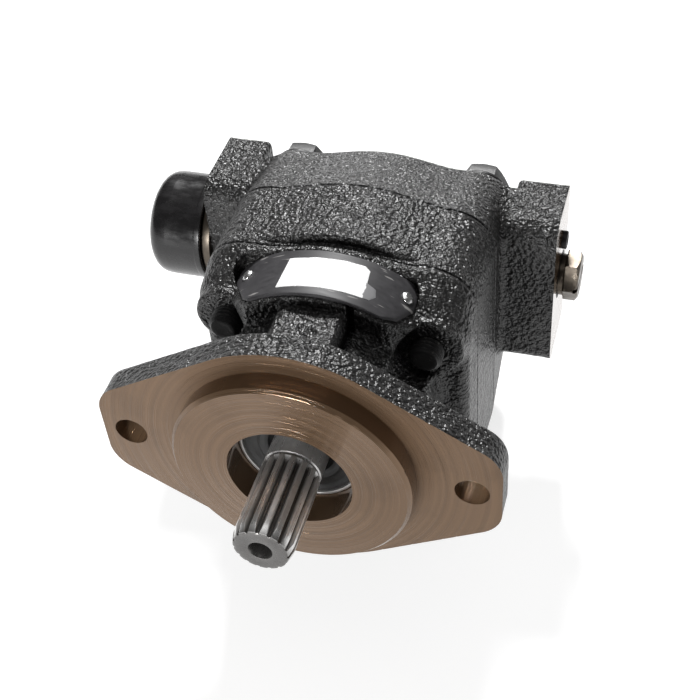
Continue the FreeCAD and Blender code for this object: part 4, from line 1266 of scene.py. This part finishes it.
class PUMP_OT_shaft_seal(PumpOperator, bpy.types.Operator):
    """Steel case and rubber lip of the shaft seal"""

    bl_idname = "pump.shaft_seal"
    bl_label = "Shaft seal"

    def execute(self, context):
        y0, y1 = CASE_LOW[1], CASE_HIGH[1]
        out = CASE_HIGH[0]
        loop = rounded_path(
            [(y0 + 3.0, out), (y1, out, 0.8), (y1, 21.0, 0.3), (y1 - 1.2, 21.0, 0.3),
             (y1 - 1.2, out - 1.5, 0.6), (y0, out - 1.5, 0.4), (y0, out, 0.5), (y0 + 3.0, out)], 4
        )[:-1]
        case = shells_object("seal_case_ring", [rings_shell(turned(loop, full_turn(160)), True)])
        place_piece(case, "shaft_seal_case")
        face = LIP_LOW[1]
        rim = LIP_HIGH[0]
        loop = rounded_path(
            [(face + 1.5, rim), (face + 2.6, rim, 0.2), (face + 2.6, 17.6, 0.8), (LIP_HIGH[1], 13.6, 0.3),
             (LIP_HIGH[1], 12.3, 0.1), (face + 2.6, 14.2, 0.8), (face + 1.0, 14.3, 0.3),
             (face + 0.3, 15.6, 0.5), (face, 17.5, 0.4), (face + 0.9, 19.0, 0.6),
             (face + 0.9, 22.0, 0.6), (face, 23.4, 0.5),
             (face, rim, 0.3), (face + 1.5, rim)], 4
        )[:-1]
        lip = shells_object("seal_lip_ring", [rings_shell(turned(loop, full_turn(160)), True)])
        place_piece(lip, "shaft_seal_lip", 60.0)
        return {"FINISHED"}


class PUMP_OT_port_closures(PumpOperator, bpy.types.Operator):
    """Inlet adapter and its push-on cap, hexagon outlet plug and gauge plug"""

    bl_idname = "pump.port_closures"
    bl_label = "Port closures"

    def execute(self, context):
        self.inlet_fitting()
        self.inlet_cap()
        self.outlet_plug()
        self.gauge_plug()
        return {"FINISHED"}

    def inlet_fitting(self):
        """Turned round the port's axis: thread end, collar, spigot and through bore."""
        end, inner = FITTING_LOW[0], FITTING_HIGH[0]
        collar = FITTING_HIGH[1] - PORT_Y
        loop = rounded_path(
            [(inner, 13.0), (inner, 15.9, 1.0), (INLET_FACE, 15.9), (INLET_FACE, collar, 0.5),
             (INLET_FACE - 4.5, collar, 0.9), (INLET_FACE - 4.5, 20.0, 0.6), (end, 20.0, 1.2),
             (end, 11.0, 0.8), (inner, 11.0, 0.5), (inner, 13.0)], 4
        )[:-1]
        rings = turned(loop, full_turn(120), 0, (PORT_Y, PORT_Z))
        place_piece(shells_object("inlet_adapter", [rings_shell(rings, True)]), "inlet_fitting")

    def inlet_cap(self):
        """Moulded cup: a soft crown, straight wall and a thin rolled mouth, with a recessed middle."""
        crown, mouth = CAP_LOW[0], CAP_HIGH[0]
        path = rounded_path(
            [(crown + 0.9, 0.05), (crown + 0.9, 12.0, 1.5), (crown, 15.0, 2.0),
             (crown + 0.15, CAP_R - 0.6, 7.4), (crown + 10.0, CAP_R - 0.15, 8.0),
             (mouth - 3.4, CAP_R - 0.15, 0.4), (mouth - 2.9, CAP_R, 0.3),
             (mouth, CAP_R, 0.7), (mouth, CAP_R - 2.2, 0.6), (mouth - 1.6, 20.3, 0.5),
             (mouth - 18.0, 20.2, 1.0), (mouth - 18.0, 0.05)], 7
        )
        rings = turned(path, full_turn(160), 0, (PORT_Y, PORT_Z))
        place_piece(shells_object("inlet_cap_moulding", [rings_shell(rings)]), "inlet_cap")

    def outlet_plug(self):
        """Skin of a hexagon with chamfered corners, a neck, a plain round stem and a slot across its end."""
        face, end = OUTLET_FACE, PLUG_HIGH[0]

        def field(x, y, z):
            across, up = y - PORT_Y, z - PORT_Z
            hexagon = np.maximum(np.abs(up), np.abs(up) * 0.5 + np.abs(across) * 0.8660254) - 10.3
            out = np.hypot(across, up)
            chamfer = (out - 11.4 + (x - end + 1.2) * 1.4) * 0.58
            head = round_meet(hexagon, slab(x, face + 2.5, end), 0.5)
            head = np.maximum(head, chamfer)
            neck = np.maximum(out - 9.7, slab(x, face, face + 3.5))
            stem = np.maximum(out - 9.4, slab(x, PLUG_LOW[0], face + 0.5))
            solid = np.minimum(np.minimum(head, neck), stem)
            slot = np.maximum(np.abs(up) - 1.0, end - 2.0 - x)
            return round_meet(solid, -slot, 0.25)

        points, quads = skin(field, PLUG_LOW, PLUG_HIGH, 0.38)
        plug = mesh_object("outlet_hex_plug", points, quads)
        place_piece(plug, "outlet_plug", 30.0)

    def gauge_plug(self):
        """Small cheese head with a socket, turned round its axis."""
        inner, end = GAUGE_LOW[0], GAUGE_HIGH[0]
        path = rounded_path(
            [(inner, 0.05), (inner, 2.9, 0.4), (OUTLET_FACE, 2.9), (OUTLET_FACE, 4.2, 0.2), (end, 4.2, 0.6),
             (end, 2.1, 0.2), (end - 1.5, 2.0, 0.2), (end - 1.7, 0.05)], 4
        )
        rings = turned(path, full_turn(48), 0, (PORT_Y, GAUGE_Z))
        place_piece(shells_object("gauge_port_plug", [rings_shell(rings)]), "gauge_plug")


class PUMP_OT_inner_parts(PumpOperator, bpy.types.Operator):
    """Finishes of the bearings, plates, seals and gear that stay as the frame gives them"""

    bl_idname = "pump.inner_parts"
    bl_label = "Inner parts"

    def execute(self, context):
        for node, piece in frame["nodes"].items():
            piece.data.materials.clear()
            piece.data.materials.append(node_finish(node))
        return {"FINISHED"}


class PUMP_OT_stage(PumpOperator, bpy.types.Operator):
    """Pale floor, soft studio lights and the camera"""

    bl_idname = "pump.stage"
    bl_label = "Stage"

    def execute(self, context):
        context.scene.view_settings.view_transform = "Standard"
        self.floor()
        self.lights(context)
        self.camera(context)
        return {"FINISHED"}

    def floor(self):
        low = CAD_BOX[0]
        reach = 4000.0
        level = low[2] / MM - 0.2
        turns = ((-1, -1), (1, -1), (1, 1), (-1, 1))
        corners = np.array([(side * reach, end * reach, level) for side, end in turns])
        floor = mesh_object("studio_floor", corners, np.array([[0, 1, 2, 3]]))
        floor.data.materials.append(floor_finish())

    def lights(self, context):
        world = bpy.data.worlds.new("studio")
        world.use_nodes = True
        world.node_tree.nodes["Background"].inputs["Color"].default_value = (1.0, 0.99, 0.97, 1.0)
        world.node_tree.nodes["Background"].inputs["Strength"].default_value = 0.07
        context.scene.world = world
        aim = Vector((0.0, 0.06, -0.02))
        for name, place, width, depth, power, tint in (
            ("top_softbox", (0.10, 0.20, 2.20), 1.6, 1.6, 8.0, (1.0, 1.0, 1.0)),
            ("back_softbox", (-0.35, 1.66, 1.60), 0.32, 0.32, 82.0, (1.0, 1.0, 1.0)),
            ("front_softbox", (-0.25, -1.50, 0.32), 0.40, 0.24, 22.0, (1.0, 1.0, 1.0)),
        ):
            lamp = bpy.data.lights.new(name, "AREA")
            lamp.shape = "RECTANGLE"
            lamp.size, lamp.size_y = width, depth
            lamp.energy = power
            lamp.color = tint
            holder = bpy.data.objects.new(name, lamp)
            holder.location = place
            holder.rotation_euler = (aim - Vector(place)).to_track_quat("-Z", "Y").to_euler()
            context.scene.collection.objects.link(holder)

    def camera(self, context):
        """Camera above the right front of the flange, tipped a little to its left."""
        azimuth, elevation, roll = math.radians(19.73), math.radians(45.05), math.radians(-5.34)
        ahead = Vector((
            -math.sin(azimuth) * math.cos(elevation),
            math.cos(azimuth) * math.cos(elevation),
            -math.sin(elevation),
        ))
        level = ahead.cross(Vector((0.0, 0.0, 1.0))).normalized()
        upward = level.cross(ahead)
        right = level * math.cos(roll) + upward * math.sin(roll)
        up = upward * math.cos(roll) - level * math.sin(roll)
        lens = bpy.data.cameras.new("studio_camera")
        lens.sensor_width = 36.0
        lens.lens = 66.466
        lens.clip_start = 0.01
        camera = bpy.data.objects.new("studio_camera", lens)
        turn = Matrix((right, up, -ahead)).transposed().to_4x4()
        camera.matrix_world = Matrix.Translation((0.1398, -0.3127, 0.4030)) @ turn
        context.scene.collection.objects.link(camera)
        context.scene.camera = camera


class PUMP_PT_panel(bpy.types.Panel):
    """Lists the pump's pieces and its sizes"""

    bl_label = "Gear pump"
    bl_idname = "PUMP_PT_panel"
    bl_space_type = "VIEW_3D"
    bl_region_type = "UI"
    bl_category = "Gear pump"

    def draw(self, context):
        for operator in OPERATORS:
            self.layout.operator(operator.bl_idname)
        for name in SETTINGS:
            group = getattr(context.scene, name)
            column = self.layout.column()
            for key in group.__annotations__:
                column.prop(group, key)


OPERATORS = (
    PUMP_OT_stage,
    PUMP_OT_inner_parts,
    PUMP_OT_front_cover,
    PUMP_OT_gear_housing,
    PUMP_OT_rear_cover,
    PUMP_OT_drive_shaft,
    PUMP_OT_shaft_seal,
    PUMP_OT_fasteners,
    PUMP_OT_nameplate,
    PUMP_OT_port_closures,
)
SETTINGS = {
    "pump_castings": PumpCastingSizes,
    "pump_shaft": PumpShaftSizes,
    "pump_finishes": PumpFinishes,
}
CLASSES = tuple(SETTINGS.values()) + OPERATORS + (PUMP_PT_panel,)


def register():
    for item in CLASSES:
        bpy.utils.register_class(item)
    for name, group in SETTINGS.items():
        setattr(bpy.types.Scene, name, bpy.props.PointerProperty(type=group))


def unregister():
    for name in SETTINGS:
        delattr(bpy.types.Scene, name)
    for item in reversed(CLASSES):
        bpy.utils.unregister_class(item)


def main():
    register()
    for operator in OPERATORS:
        group, name = operator.bl_idname.split(".")
        getattr(getattr(bpy.ops, group), name)()


if __name__ == "__main__":
    main()
